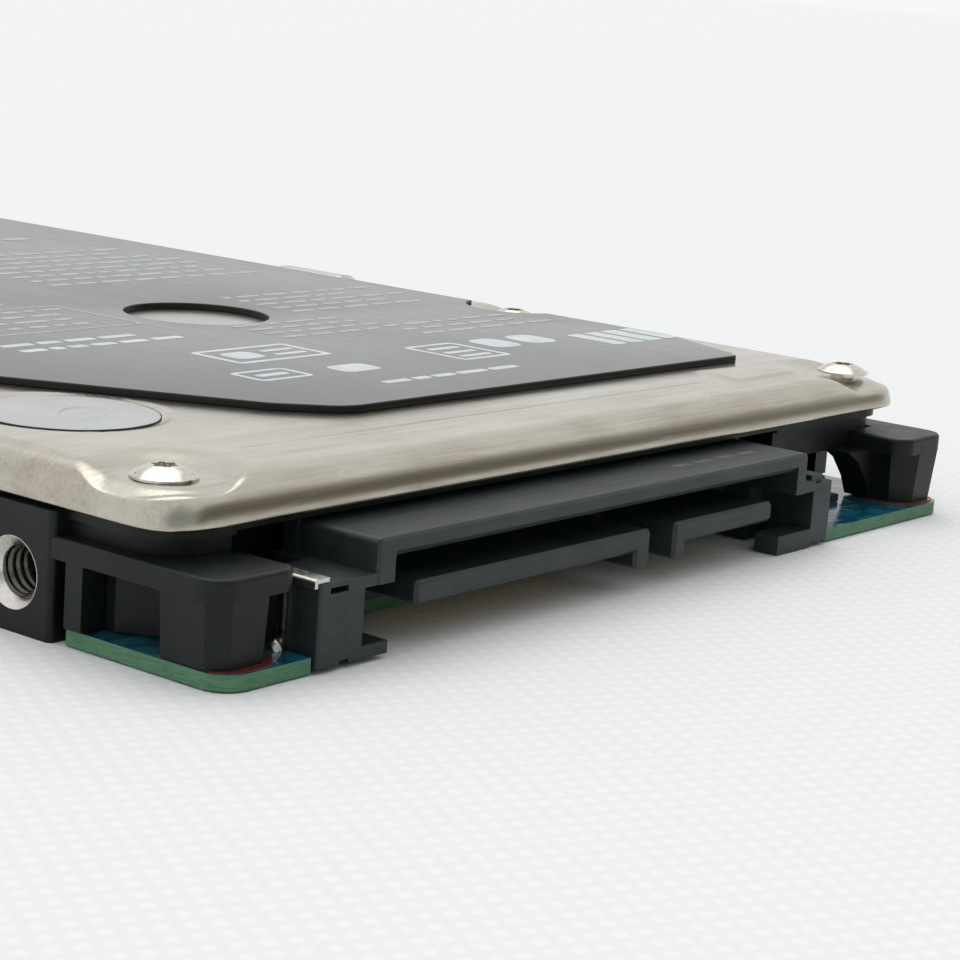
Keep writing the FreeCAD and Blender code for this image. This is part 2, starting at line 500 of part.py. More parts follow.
lead = [e for e in housing.Edges if abs(e.BoundBox.YMin - Y_TIP) < 1e-4 and abs(e.BoundBox.YMax - Y_TIP) < 1e-4
        and e.BoundBox.XLength > 30 and abs(e.BoundBox.ZMin - rz0) < 1e-3]
housing = try_chamfer(housing, 0.3, lead)
outer = z_edges(housing, lambda x, y: y < -50.0 and (abs(x - TOWER_L[0]) < 1e-3 or abs(x - TOWER_R[1]) < 1e-3))
housing = try_fillet(housing, 0.18, outer)
# hold-down straps over each tower
straps = []
for s, tx, zt in ((-1, TOWER_L[0], ZL), (1, TOWER_R[1], 4.1)):
    o = s * 0.06
    top = zt + 0.03
    inx = tx - s * 0.75
    y0 = -50.3 if s < 0 else -48.9
    st = box(tx + o, -48.35, PCB_TOP + 0.05, tx + o + s * 0.22, -47.95, top + 0.24)
    st = fuse([st, box(tx + o, y0, top - 0.22, tx + o + s * 0.22, -47.95, top + 0.24), box(inx, y0, top, tx + o + s * 0.22, -47.95, top + 0.24)])
    st = try_fillet(st, 0.2, [e for e in st.Edges if e.BoundBox.YLength > 0.35 and e.BoundBox.XLength < 1e-5 and e.BoundBox.ZLength < 1e-5
                              and abs(e.BoundBox.ZMin - top - 0.24) < 1e-3 and abs(e.BoundBox.XMin - (tx + o + s * 0.22)) < 1e-3])
    straps.append(st)
export("hold_down_straps", Part.makeCompound(straps))
housing = max(housing.Solids, key=lambda q: q.Volume)
export("connector_housing", housing)
export("power_contacts", Part.makeCompound(pp))
export("signal_contacts", Part.makeCompound(ps))
sol = []
for s, tx in ((-1, TOWER_L[0]), (1, TOWER_R[1])):
    cx = tx + s * 0.50
    dome = Part.makeSphere(0.46, V(cx, -48.15, PCB_TOP + 0.02)).common(box(cx - 1, -49, PCB_TOP, cx + 1, -47, PCB_TOP + 1))
    sol.append(dome.cut(straps[0 if s < 0 else 1]))
export("solder_joints", Part.makeCompound([q for d in sol for q in d.Solids if q.Volume > 0.02]))

# ---------------------------------------------------------------- spindle motor
sleeve = ring(SPX, SPY, 0.3, 3.3, 1.28, 3.28)
sleeve = fuse([sleeve, cyl(SPX, SPY, 0.3, 0.55, 3.28)])
export("bearing_sleeve", sleeve)
core = ring(SPX, SPY, 1.75, 2.75, 3.4, 4.6)
teeth = []
for k in range(9):
    t = fuse([box(SPX + 4.4, SPY - 0.45, 1.75, SPX + 7.2, SPY + 0.45, 2.75), sector(SPX, SPY, 6.9, 7.6, -15, 15, 1.75, 2.75)])
    teeth.append(turned(t, 40 * k, SPX, SPY))
core = fuse([core] + teeth)
export("stator_core", core)
coils = []
for k in range(9):
    t = box(SPX + 4.9, SPY - 0.95, 1.4, SPX + 6.8, SPY + 0.95, 3.05).cut(box(SPX + 4, SPY - 0.5, 1.7, SPX + 8, SPY + 0.5, 2.8))
    coils.append(turned(t, 40 * k, SPX, SPY))
export("stator_coils", Part.makeCompound(coils))
seat = ring(SPX, SPY, 0.97, 1.35, 3.4, 4.4)
export("stator_seat", fuse([seat, ring(SPX, SPY, 1.3, 1.72, 3.4, 4.3)]))
hub = cyl(SPX, SPY, 3.55, DISC1_Z, 12.0)
hub = fuse([hub, cyl(SPX, SPY, 3.5, 6.85, 9.97), ring(SPX, SPY, 1.25, 3.6, 9.0, 9.97)])
hub = hub.cut([cyl(SPX, SPY, 3.45, 6.0, 1.25), cyl(SPX, SPY, 6.0, 9, 0.9)])
shaft = fuse([cyl(SPX, SPY, 0.62, 6.0, 1.25)])
hub = hub.cut(cyl(SPX, SPY, 0, 6.0, 1.25))
export("spindle_hub", hub)
export("spindle_shaft", shaft)
export("rotor_magnet", ring(SPX, SPY, 1.45, 3.45, 7.95, 9.0))
for n, z in (("lower_disc", DISC1_Z), ("upper_disc", DISC2_Z)):
    d = ring(SPX, SPY, z, z + DISC_T, DISC_ID, DISC_R)
    d = try_chamfer(d, 0.1, [e for e in d.Edges if abs(e.Curve.Radius - DISC_R) < 1e-3] if all(hasattr(e.Curve, "Radius") for e in d.Edges) else [])
    export(n, d)
export("disc_spacer", ring(SPX, SPY, DISC1_Z + DISC_T, DISC2_Z, DISC_ID, 12.0))
clamp = fuse([ring(SPX, SPY, DISC2_Z + DISC_T, DISC2_Z + DISC_T + 0.35, 9.0, 12.0), ring(SPX, SPY, DISC2_Z + DISC_T + 0.3, DISC2_Z + DISC_T + 0.6, 1.0, 11.0)])
export("disc_clamp", clamp)
cz = DISC2_Z + DISC_T + 0.6
cs = fuse([cyl(SPX, SPY, cz, cz + 0.55, 2.4), cyl(SPX, SPY, 6.05, cz + 0.1, 0.9)])
cs = cs.cut(fuse([cyl(SPX, SPY, cz + 0.15, cz + 1, 0.8)] + [turned(cyl(SPX + 0.8, SPY, cz + 0.15, cz + 1, 0.22), 60 * k, SPX, SPY) for k in range(6)]))
export("clamp_screw", cs)

# ---------------------------------------------------------------- actuator
export("pivot_shaft", fuse([cyl(PVX, PVY, 2.92, 3.6, 1.58), cyl(PVX, PVY, 3.5, 8.3, 1.58)]))
ARM_Z = [(5.1, 5.85)]
piv = ring(PVX, PVY, 3.7, 8.1, 1.61, 3.4)
export("pivot_bearing", piv)
eb = ring(PVX, PVY, 3.85, 7.95, 3.4, 5.6)


def radial(w0, w1, r0, r1, z0, z1, deg):
    p = prism([(PVX + r0, PVY - w0 / 2), (PVX + r1, PVY - w1 / 2), (PVX + r1, PVY + w1 / 2), (PVX + r0, PVY + w0 / 2)], z0, z1)
    return turned(p, deg, PVX, PVY)


def park_clear(shape):
    return shape


arms = []
for z0, z1 in ((3.22, 3.72), (5.0, 5.9), (7.3, 7.8)):
    a = radial(7.2, 3.2, 4.6, 21.5, z0, z1, PARK_DEG).cut(cyl(PVX, PVY, 0, 10, 3.9))
    lighten = radial(2.2, 1.2, 9.5, 17.0, z0 - 1, z1 + 1, PARK_DEG)
    arms.append(a.cut(lighten))
arms[0] = fuse([arms[0], ring(PVX, PVY, 3.22, 3.9, 3.9, 5.6)])
eb = fuse([eb] + arms + [radial(5.2, 5.2, 4.2, 9.4, 4.6, 6.4, COIL_DEG).cut(cyl(PVX, PVY, 0, 10, 3.9))])
export("arm_block", eb)
# suspensions and heads: one over and one under each disc face
susp, heads = [], []
for zt, face in ((3.85, -1), (4.90, 1), (6.0, -1), (7.16, 1)):
    s = radial(2.6, 1.0, 18.0, ARM_L + 1.9, zt, zt + 0.06, PARK_DEG)
    susp.append(s)
# mount plates joining each suspension to its arm
plates_ = [radial(2.9, 2.9, 17.6, 21.0, 3.72, 3.85, PARK_DEG), radial(2.9, 2.9, 17.6, 21.0, 4.96, 5.0, PARK_DEG),
           radial(2.9, 2.9, 17.6, 21.0, 5.9, 6.0, PARK_DEG), radial(2.9, 2.9, 17.6, 21.0, 7.22, 7.3, PARK_DEG)]
export("suspensions", Part.makeCompound([fuse([a, b]) for a, b in zip(susp, plates_)]))
for zt, up in ((3.91, 1), (4.90, -1), (6.06, 1), (7.16, -1)):
    h = 0.06 if zt in (3.91,) else 0.22
    z0, z1 = (zt, zt + h) if up > 0 else (zt - h, zt)
    if zt == 6.06:
        z0, z1 = zt, zt + 0.2
    if zt == 7.16:
        z0, z1 = zt - 0.2, zt
    heads.append(radial(0.8, 0.8, ARM_L - 0.6, ARM_L + 0.6, z0, z1, PARK_DEG))
export("head_sliders", Part.makeCompound(heads))
# voice coil in its plastic frame
cf = sector(PVX, PVY, 9.3, 17.2, COIL_DEG - 19, COIL_DEG + 19, 4.75, 6.25)
coil_out = sector(PVX, PVY, 10.0, 16.5, COIL_DEG - 17, COIL_DEG + 17, 4.75, 6.25)
coil_in = sector(PVX, PVY, 12.2, 14.4, COIL_DEG - 8, COIL_DEG + 8, 4.0, 7.0)
frame_ = cf.cut(coil_out)
frame_ = frame_.cut(eb)
export("coil_frame", frame_)
export("voice_coil", coil_out.cut(coil_in))
# magnet yokes
A0, A1 = COIL_DEG - 21, COIL_DEG + SWEEP + 17
room = front_room.copy()
inside = prism([(-31.0, 3), (-31.0, -36.0), (-27.2, -38.6), (-27.2, -41.4), (17.6, -41.4), (17.6, -38.0), (30.8, -36.2), (30.8, 3)], 0, 9.0)
ylo = sector(PVX, PVY, 8.6, 19.4, A0 - 6, A1, FLOOR_Z, 3.75).common(inside)
yhi = sector(PVX, PVY, 8.6, 19.4, A0 - 6, A1, 7.25, 8.05).common(inside)
export("lower_yoke", ylo)
export("upper_yoke", yhi)
mlo = fuse([sector(PVX, PVY, 9.9, 16.7, A0 + 2, (A0 + A1) / 2 - 0.2, 3.75, 4.5), sector(PVX, PVY, 9.9, 16.7, (A0 + A1) / 2 + 0.2, A1 - 4, 3.75, 4.5)])
mhi = fuse([sector(PVX, PVY, 9.9, 16.7, A0 + 2, (A0 + A1) / 2 - 0.2, 6.5, 7.25), sector(PVX, PVY, 9.9, 16.7, (A0 + A1) / 2 + 0.2, A1 - 4, 6.5, 7.25)])
export("lower_magnets", mlo.common(inside))
export("upper_magnets", mhi.common(inside))


def pol(r, a):
    return PVX + r * math.cos(math.radians(a)), PVY + r * math.sin(math.radians(a))


posts_ = [cyl(*pol(18.5, a), 3.75, 7.25, 0.7) for a in (A0 - 3.5, (A0 + A1) / 2 - 8)]
export("yoke_spacers", Part.makeCompound(posts_))
# crash stops
c1 = pol(18.2, COIL_DEG - 23.2)
export("crash_stops", Part.makeCompound([cyl(*pol(13.0, COIL_DEG - 24.6), 4.6, 6.4, 0.95), cyl(*pol(13.0, COIL_DEG + SWEEP + 24.8), 4.6, 6.4, 0.95)]).common(inside) if False else
       Part.makeCompound([cyl(*pol(13.0, COIL_DEG - 24.6), 3.75, 7.25, 0.95), cyl(*pol(13.0, COIL_DEG + SWEEP + 24.8), FLOOR_Z, 7.0, 0.95)]))

# ---------------------------------------------------------------- parking ramp
ra = PARK_DEG
rtip = pol(ARM_L + 1.1, PARK_DEG)


def at_park(dr, dt):
    a = math.radians(PARK_DEG)
    r = ARM_L + dr
    return PVX + r * math.cos(a) - dt * math.sin(a), PVY + r * math.sin(a) + dt * math.cos(a)


rp = prism([at_park(1.0, -1.5), at_park(2.6, -1.5), at_park(2.6, 2.4), at_park(1.0, 2.4)], FLOOR_Z, 8.2)
slots = []
for z in (DISC1_Z, DISC2_Z):
    slots.append(cyl(SPX, SPY, z - 0.28, z + DISC_T + 0.28, DISC_R + 0.45))
for zt in (3.85, 4.90, 6.0, 7.16):
    slots.append(radial(1.9, 1.9, ARM_L - 2, ARM_L + 2.3, zt - 0.13, zt + 0.19, PARK_DEG))
    slots.append(sector(PVX, PVY, ARM_L - 2, ARM_L + 2.3, PARK_DEG, PARK_DEG + 9, zt - 0.13, zt + 0.19))
rp = rp.cut(slots).common(box(-33, -30, 0, 32.9, 49, 10))
rp = max(rp.Solids, key=lambda q: q.Volume)
rampb = prism([at_park(2.3, -1.5), at_park(3.4, -1.5), at_park(3.4, 2.4), at_park(2.3, 2.4)], FLOOR_Z, 8.2).common(box(-33, -30, 0, 32.9, 49, 10)).cut(slots)
export("parking_ramp", fuse([rp, rampb]))

# ---------------------------------------------------------------- flex circuit, latch, filters
export("flex_bracket", box(20.9, -36.0, FLOOR_Z, 30.2, -30.4, 4.2))
export("flex_connector", box(22.0, -35.0, 4.2, 29.0, -32.0, 6.6))
fp = [(22.6, -31.6), (22.6, -28.0), (22.2, -26.8), (21.4, -25.9), (20.2, -25.5), (20.2, -25.62), (21.32, -26.0), (22.08, -26.86), (22.48, -28.03), (22.48, -31.6)]
export("flex_loop", prism(fp, 4.4, 6.4))
LX, LY = -7.6, -39.2
inl = [(LX - 0.0, LY)]
export("latch_pin", cyl(LX, LY, 3.75, 7.25, 0.6))
lever = fuse([ring(LX, LY, 4.5, 6.3, 0.64, 1.4), box(LX - 7.5, LY - 0.55, 4.7, LX - 1.0, LY + 0.55, 6.1)])
lever = lever.cut(cyl(LX, LY, 0, 10, 0.64))
lever = fuse([lever, box(LX - 7.9, LY - 0.9, 4.7, LX - 6.0, LY + 0.9, 6.1)])
export("inertia_latch", lever)
export("recirculation_filter", turned(box(-29.2, -12.5, FLOOR_Z, -26.6, -5.0, 7.9), 0, 0, 0))
export("breather_filter", cyl(-24.0, -17.5, FLOOR_Z, 4.6, 3.2))
export("drying_pack", box(-30.2, -34.0, FLOOR_Z, -22.0, -24.5, 6.2))
print("done")
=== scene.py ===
import json
import math

import bpy
import bmesh
import numpy as np
from mathutils import Matrix, Vector, noise
from mathutils.geometry import delaunay_2d_cdt


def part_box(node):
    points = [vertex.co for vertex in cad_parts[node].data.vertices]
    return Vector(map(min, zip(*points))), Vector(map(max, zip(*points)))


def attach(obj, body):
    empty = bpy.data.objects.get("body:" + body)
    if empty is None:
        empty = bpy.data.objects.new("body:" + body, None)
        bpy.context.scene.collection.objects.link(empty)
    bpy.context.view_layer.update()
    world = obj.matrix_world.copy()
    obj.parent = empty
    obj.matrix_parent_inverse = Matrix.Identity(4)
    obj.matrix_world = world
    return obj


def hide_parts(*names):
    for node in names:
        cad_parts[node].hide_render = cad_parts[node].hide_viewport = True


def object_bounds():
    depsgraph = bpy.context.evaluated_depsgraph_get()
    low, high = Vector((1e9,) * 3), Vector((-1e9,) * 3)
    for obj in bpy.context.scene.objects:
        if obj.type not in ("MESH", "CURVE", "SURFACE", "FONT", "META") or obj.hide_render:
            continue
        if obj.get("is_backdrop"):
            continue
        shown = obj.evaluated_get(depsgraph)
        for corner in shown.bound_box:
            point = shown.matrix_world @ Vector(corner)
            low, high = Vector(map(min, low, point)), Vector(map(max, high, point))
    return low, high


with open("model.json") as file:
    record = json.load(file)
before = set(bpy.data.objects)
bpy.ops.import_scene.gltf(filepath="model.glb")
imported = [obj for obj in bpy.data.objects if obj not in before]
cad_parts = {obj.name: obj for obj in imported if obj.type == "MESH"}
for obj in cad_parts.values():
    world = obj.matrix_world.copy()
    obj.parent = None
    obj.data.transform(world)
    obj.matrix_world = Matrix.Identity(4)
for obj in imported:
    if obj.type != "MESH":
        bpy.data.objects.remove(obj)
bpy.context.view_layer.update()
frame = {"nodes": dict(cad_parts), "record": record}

MM = 0.001
scene = bpy.context.scene
NODES = frame["nodes"]


# ------------------------------------------------------------------ material helper
class Mat:
    def __init__(self, name):
        self.m = bpy.data.materials.new(name)
        self.m.use_nodes = True
        self.t = self.m.node_tree
        self.t.nodes.clear()
        self.out = self.n("ShaderNodeOutputMaterial")
        self.b = self.n("ShaderNodeBsdfPrincipled")
        self.t.links.new(self.b.outputs[0], self.out.inputs[0])
        self.tc = self.n("ShaderNodeTexCoord").outputs["Object"]

    def n(self, kind, **kw):
        x = self.t.nodes.new(kind)
        for k, v in kw.items():
            setattr(x, k, v)
        return x

    def put(self, sock, v):
        if isinstance(v, bpy.types.NodeSocket):
            self.t.links.new(v, sock)
        elif isinstance(v, (tuple, list)) and len(v) == 3 and sock.type == "RGBA":
            sock.default_value = (*v, 1.0)
        else:
            sock.default_value = v

    def set(self, **kw):
        for k, v in kw.items():
            self.put(self.b.inputs[k.replace("_", " ")], v)
        return self

    def stretch(self, scale, rot=(0, 0, 0)):
        mp = self.n("ShaderNodeMapping")
        self.t.links.new(self.tc, mp.inputs["Vector"])
        mp.inputs["Scale"].default_value = scale
        mp.inputs["Rotation"].default_value = rot
        return mp.outputs[0]

    def noise(self, scale, detail=3.0, rough=0.5, vec=None, dist=0.0):
        x = self.n("ShaderNodeTexNoise")
        self.t.links.new(vec or self.tc, x.inputs["Vector"])
        x.inputs["Scale"].default_value = scale
        x.inputs["Detail"].default_value = detail
        x.inputs["Roughness"].default_value = rough
        x.inputs["Distortion"].default_value = dist
        return x.outputs["Fac"]

    def cells(self, scale, vec=None, feature="F1", out="Distance"):
        x = self.n("ShaderNodeTexVoronoi", feature=feature)
        self.t.links.new(vec or self.tc, x.inputs["Vector"])
        x.inputs["Scale"].default_value = scale
        return x.outputs[out]

    def ramp(self, fac, *stops):
        x = self.n("ShaderNodeValToRGB")
        self.t.links.new(fac, x.inputs[0])
        e = x.color_ramp.elements
        while len(e) < len(stops):
            e.new(0.5)
        for el, (p, c) in zip(e, stops):
            el.position = p
            el.color = (*c, 1) if isinstance(c, tuple) else (c, c, c, 1)
        return x.outputs[0]

    def mix(self, fac, a, b, mode="MIX"):
        x = self.n("ShaderNodeMix", data_type="RGBA", blend_type=mode)
        self.put(x.inputs[0], fac)
        self.put(x.inputs[6], a)
        self.put(x.inputs[7], b)
        return x.outputs[2]

    def calc(self, op, a, b=0.0, clamp=False):
        x = self.n("ShaderNodeMath", operation=op, use_clamp=clamp)
        self.put(x.inputs[0], a)
        self.put(x.inputs[1], b)
        return x.outputs[0]

    def span(self, v, a, b, c=0.0, d=1.0):
        x = self.n("ShaderNodeMapRange", clamp=True)
        self.put(x.inputs[0], v)
        for i, q in enumerate((a, b, c, d)):
            x.inputs[i + 1].default_value = q
        return x.outputs[0]

    def axis(self, i, vec=None):
        x = self.n("ShaderNodeSeparateXYZ")
        self.t.links.new(vec or self.tc, x.inputs[0])
        return x.outputs[i]

    def normal_axis(self, i):
        g = self.n("ShaderNodeNewGeometry")
        return self.axis(i, g.outputs["Normal"])

    def bump(self, height, mm, strength=1.0, under=None):
        x = self.n("ShaderNodeBump")
        x.inputs["Strength"].default_value = strength
        x.inputs["Distance"].default_value = mm * MM
        self.t.links.new(height, x.inputs["Height"])
        if under is not None:
            self.t.links.new(under, x.inputs["Normal"])
        return x.outputs[0]


def surface(name, dark, light, metal=0.0, rough=(0.3, 0.45), grain=2500.0, blotch=180.0, relief=0.004,
            wave=0.0, streak=None, spec=0.5, coat=0.0, flecks=None):
    """One procedural finish: blotchy and grainy colour, roughness that varies, fine relief, optional brushing and flecks."""
    q = Mat(name)
    fine = q.noise(grain, 4, 0.6)
    big = q.noise(blotch, 4, 0.55)
    tone = q.calc("ADD", q.calc("MULTIPLY", fine, 0.45), q.calc("MULTIPLY", big, 0.55))
    if streak:
        line = q.noise(1.0, 5, 0.7, q.stretch(streak))
        tone = q.calc("ADD", q.calc("MULTIPLY", tone, 0.45), q.calc("MULTIPLY", line, 0.55))
    col = q.mix(q.span(tone, 0.32, 0.68), dark, light)
    if flecks:
        dots = q.cells(flecks[0])
        col = q.mix(q.span(dots, 0.10, 0.16, 1.0, 0.0), col, flecks[1])
    q.set(Base_Color=col, Metallic=metal, Roughness=q.span(tone, 0.3, 0.7, rough[0], rough[1]))
    q.b.inputs["Specular IOR Level"].default_value = spec
    if coat:
        q.b.inputs["Coat Weight"].default_value = coat
        q.b.inputs["Coat Roughness"].default_value = 0.12
    nrm = q.bump(line if streak else fine, relief)
    if wave:
        nrm = q.bump(big, wave, under=nrm)
    q.set(Normal=nrm)
    return q


# ------------------------------------------------------------------ the finishes
M = {}

# sheet cover: plated steel with a faint rolling grain along the length of the front edge, wide soft blotches and hair scratches
q = Mat("cover_steel")
grainx = q.noise(1.0, 6, 0.7, q.stretch((160, 5200, 5200)))
soft = q.noise(95.0, 5, 0.6, dist=0.6)
pores = q.noise(4200.0, 3, 0.6)
smear = q.noise(1.0, 4, 0.6, q.stretch((60, 520, 900), (0.0, 0.0, 0.06)))
tone = q.calc("ADD", q.calc("MULTIPLY", grainx, 0.34), q.calc("ADD", q.calc("MULTIPLY", soft, 0.36), q.calc("MULTIPLY", smear, 0.30)))
col = q.ramp(q.span(tone, 0.34, 0.66), (0.0, (0.37, 0.330, 0.262)), (0.45, (0.495, 0.465, 0.395)), (1.0, (0.60, 0.580, 0.515)))
scr = q.cells(1.0, q.stretch((34, 900, 900), (0, 0, 0.5)), "DISTANCE_TO_EDGE")
hair = q.span(scr, 0.0, 0.006, 1.0, 0.0)
col = q.mix(q.calc("MULTIPLY", hair, 0.16), col, (0.80, 0.78, 0.73))
q.set(Base_Color=col, Metallic=1.0, Roughness=q.span(tone, 0.34, 0.68, 0.27, 0.16))
nb = q.bump(grainx, 0.0016)
nb = q.bump(pores, 0.0010, under=nb)
nb = q.bump(soft, 0.020, under=nb)
q.set(Normal=q.bump(hair, 0.0012, under=nb))
M["cover_steel"] = q

# black coat on the casting: orange peel, faint cast waviness, slightly rubbed highlights
q = Mat("black_casting")
peel = q.cells(1900.0, feature="SMOOTH_F1")
fine = q.noise(5200.0, 3, 0.6)
cast = q.noise(240.0, 4, 0.55)
dust = q.noise(900.0, 6, 0.75)
col = q.ramp(q.span(cast, 0.3, 0.7), (0.0, (0.0040, 0.0060, 0.0064)), (1.0, (0.0095, 0.0128, 0.0130)))
col = q.mix(q.calc("MULTIPLY", q.span(dust, 0.60, 0.74), 0.35), col, (0.026, 0.030, 0.029))
q.set(Base_Color=col, Roughness=q.span(dust, 0.3, 0.7, 0.34, 0.50))
q.b.inputs["Specular IOR Level"].default_value = 0.26
nb = q.bump(fine, 0.0022)
nb = q.bump(peel, 0.006, under=nb)
q.set(Normal=q.bump(cast, 0.022, under=nb))
M["black_casting"] = q

# the plate on the cover: satin black with a fine even grain
q = Mat("black_plate")
fine = q.noise(6500.0, 3, 0.6)
lay = q.noise(1.0, 5, 0.65, q.stretch((2600, 260, 2600)))
big = q.noise(60.0, 4, 0.55)
col = q.ramp(q.span(big, 0.3, 0.7), (0.0, (0.040, 0.044, 0.044)), (1.0, (0.056, 0.061, 0.061)))
col = q.mix(q.calc("MULTIPLY", q.span(fine, 0.55, 0.8), 0.4), col, (0.060, 0.064, 0.064))
q.set(Base_Color=col, Roughness=q.span(lay, 0.3, 0.7, 0.19, 0.25))
q.b.inputs["Specular IOR Level"].default_value = 0.85
nb = q.bump(fine, 0.0012)
q.set(Normal=q.bump(big, 0.010, under=nb))
M["black_plate"] = q

# moulded connector resin: blue-grey, matt, glass-filled, with tiny pale flecks and a drawn mould texture
q = Mat("connector_resin")
fine = q.noise(4300.0, 4, 0.65)
mid = q.noise(420.0, 5, 0.6)
spark = q.cells(3300.0)
flow = q.noise(1.0, 4, 0.6, q.stretch((190, 2400, 2400)))
col = q.ramp(q.span(mid, 0.3, 0.7), (0.0, (0.012, 0.0185, 0.0200)), (1.0, (0.0235, 0.0330, 0.0345)))
col = q.mix(q.calc("MULTIPLY", q.span(fine, 0.5, 0.78), 0.50), col, (0.050, 0.064, 0.065))
col = q.mix(q.calc("MULTIPLY", q.span(spark, 0.04, 0.10, 1.0, 0.0), 0.30), col, (0.14, 0.16, 0.16))
q.set(Base_Color=col, Roughness=q.span(flow, 0.3, 0.7, 0.36, 0.50))
q.b.inputs["Specular IOR Level"].default_value = 0.38
nb = q.bump(fine, 0.0050)
q.set(Normal=q.bump(flow, 0.0030, under=nb))
M["connector_resin"] = q

# circuit board: blue-green mask over copper tracks on both faces, pale fibrous laminate on the cut edge
q = Mat("board_laminate")
nz = q.normal_axis(2)
face = q.span(q.calc("ABSOLUTE", nz), 0.55, 0.8)
tr = q.cells(430.0, feature="DISTANCE_TO_EDGE")
tracks = q.span(tr, 0.10, 0.14)
mesh = q.noise(2600.0, 3, 0.6)
mask = q.ramp(tracks, (0.0, (0.005, 0.062, 0.100)), (1.0, (0.009, 0.118, 0.152)))
mask = q.mix(q.calc("MULTIPLY", q.span(mesh, 0.45, 0.75), 0.30), mask, (0.016, 0.165, 0.185))
lamina = q.noise(1.0, 4, 0.7, q.stretch((900, 900, 14000)))
fibre = q.noise(3400.0, 4, 0.7)
edge = q.ramp(q.span(lamina, 0.32, 0.68), (0.0, (0.034, 0.125, 0.060)), (1.0, (0.095, 0.250, 0.130)))
edge = q.mix(q.calc("MULTIPLY", q.span(fibre, 0.55, 0.75), 0.40), edge, (0.17, 0.29, 0.155))
q.set(Base_Color=q.mix(face, edge, mask), Roughness=q.span(face, 0.0, 1.0, 0.58, 0.17))
q.b.inputs["Specular IOR Level"].default_value = 0.55
nb = q.bump(tracks, 0.012)
q.set(Normal=q.bump(lamina, 0.006, 0.6, under=nb))
M["board_laminate"] = q

M["seal_label"] = surface("seal_label", (0.43, 0.45, 0.44), (0.54, 0.565, 0.55), rough=(0.36, 0.50), grain=3600, blotch=300, relief=0.0022, wave=0.006, spec=0.45)
M["plate_core"] = surface("plate_core", (0.004, 0.0045, 0.0045), (0.016, 0.017, 0.017), rough=(0.34, 0.52), grain=3600, blotch=500, relief=0.003, spec=0.35)
M["rubber"] = surface("rubber", (0.012, 0.012, 0.012), (0.028, 0.027, 0.026), rough=(0.60, 0.80), grain=2800, relief=0.008)
M["screw_steel"] = surface("screw_steel", (0.50, 0.46, 0.39), (0.78, 0.75, 0.68), metal=1.0, rough=(0.16, 0.32), grain=3800, blotch=700, relief=0.0026, flecks=(1600, (0.30, 0.26, 0.20)))
M["copper"] = surface("copper", (0.13, 0.026, 0.016), (0.30, 0.075, 0.045), metal=0.6, rough=(0.28, 0.46), grain=3200, blotch=600, relief=0.006)
M["chip_resin"] = surface("chip_resin", (0.012, 0.012, 0.013), (0.032, 0.032, 0.034), rough=(0.42, 0.60), grain=4200, relief=0.004, flecks=(4000, (0.05, 0.05, 0.05)))
M["gold"] = surface("gold", (0.66, 0.43, 0.15), (0.86, 0.63, 0.29), metal=1.0, rough=(0.20, 0.34), grain=3600, blotch=800, relief=0.0018, streak=(5000, 400, 5000))
M["polyester_film"] = surface("polyester_film", (0.010, 0.011, 0.013), (0.026, 0.028, 0.032), rough=(0.20, 0.36), grain=1500, relief=0.005, wave=0.02)
M["tinned"] = surface("tinned", (0.46, 0.45, 0.41), (0.76, 0.75, 0.70), metal=1.0, rough=(0.20, 0.42), grain=3000, blotch=900, relief=0.010)
M["machined_alloy"] = surface("machined_alloy", (0.56, 0.55, 0.52), (0.80, 0.79, 0.76), metal=1.0, rough=(0.20, 0.36), grain=3000, relief=0.003, streak=(400, 400, 7000))
M["magnet"] = surface("magnet", (0.44, 0.44, 0.43), (0.62, 0.62, 0.60), metal=1.0, rough=(0.22, 0.40), grain=2600, relief=0.006)
M["disc_coating"] = surface("disc_coating", (0.44, 0.43, 0.42), (0.54, 0.53, 0.52), metal=1.0, rough=(0.03, 0.07), grain=1200, relief=0.0004)
M["slider_ceramic"] = surface("slider_ceramic", (0.05, 0.05, 0.055), (0.12, 0.12, 0.125), rough=(0.30, 0.44), grain=9000, relief=0.001)
M["ivory_resin"] = surface("ivory_resin", (0.52, 0.47, 0.36), (0.68, 0.63, 0.52), rough=(0.40, 0.55), grain=3000, relief=0.005)
M["amber_film"] = surface("amber_film", (0.34, 0.13, 0.020), (0.58, 0.27, 0.055), rough=(0.22, 0.36), grain=2000, relief=0.004)
M["filter_fibre"] = surface("filter_fibre", (0.62, 0.62, 0.60), (0.84, 0.84, 0.82), rough=(0.80, 0.95), grain=2600, relief=0.03)
# bright bare metal left by the tap and the countersink
M["cut_metal"] = surface("cut_metal", (0.58, 0.56, 0.51), (0.86, 0.85, 0.81), metal=1.0, rough=(0.16, 0.34), grain=4200, blotch=900, relief=0.003, streak=(700, 5200, 5200))
M["print_ink_soft"] = surface("print_ink_soft", (0.30, 0.325, 0.335), (0.50, 0.53, 0.54), rough=(0.34, 0.48), grain=5200, blotch=700, relief=0.0012, spec=0.7)
M["resin_print"] = surface("resin_print", (0.060, 0.060, 0.058), (0.125, 0.118, 0.112), rough=(0.45, 0.62), grain=5200, blotch=900, relief=0.0016, spec=0.3)
# the thread turns: bare cut metal darkened as painted shade for the inside of the hole
M["thread_painted_shade"] = surface("thread_painted_shade", (0.055, 0.053, 0.048), (0.24, 0.23, 0.205), metal=1.0, rough=(0.24, 0.44), grain=4200, blotch=900, relief=0.004, streak=(700, 5200, 5200))
M["print_ink"] = surface("print_ink", (0.50, 0.55, 0.57), (0.72, 0.77, 0.79), rough=(0.45, 0.62), grain=5200, blotch=700, relief=0.0012)

for sub in frame["record"]["subparts"]:
    o = NODES[sub["node"]]
    o.data.materials.clear()
    o.data.materials.append(M[sub["material_slot"]].m)


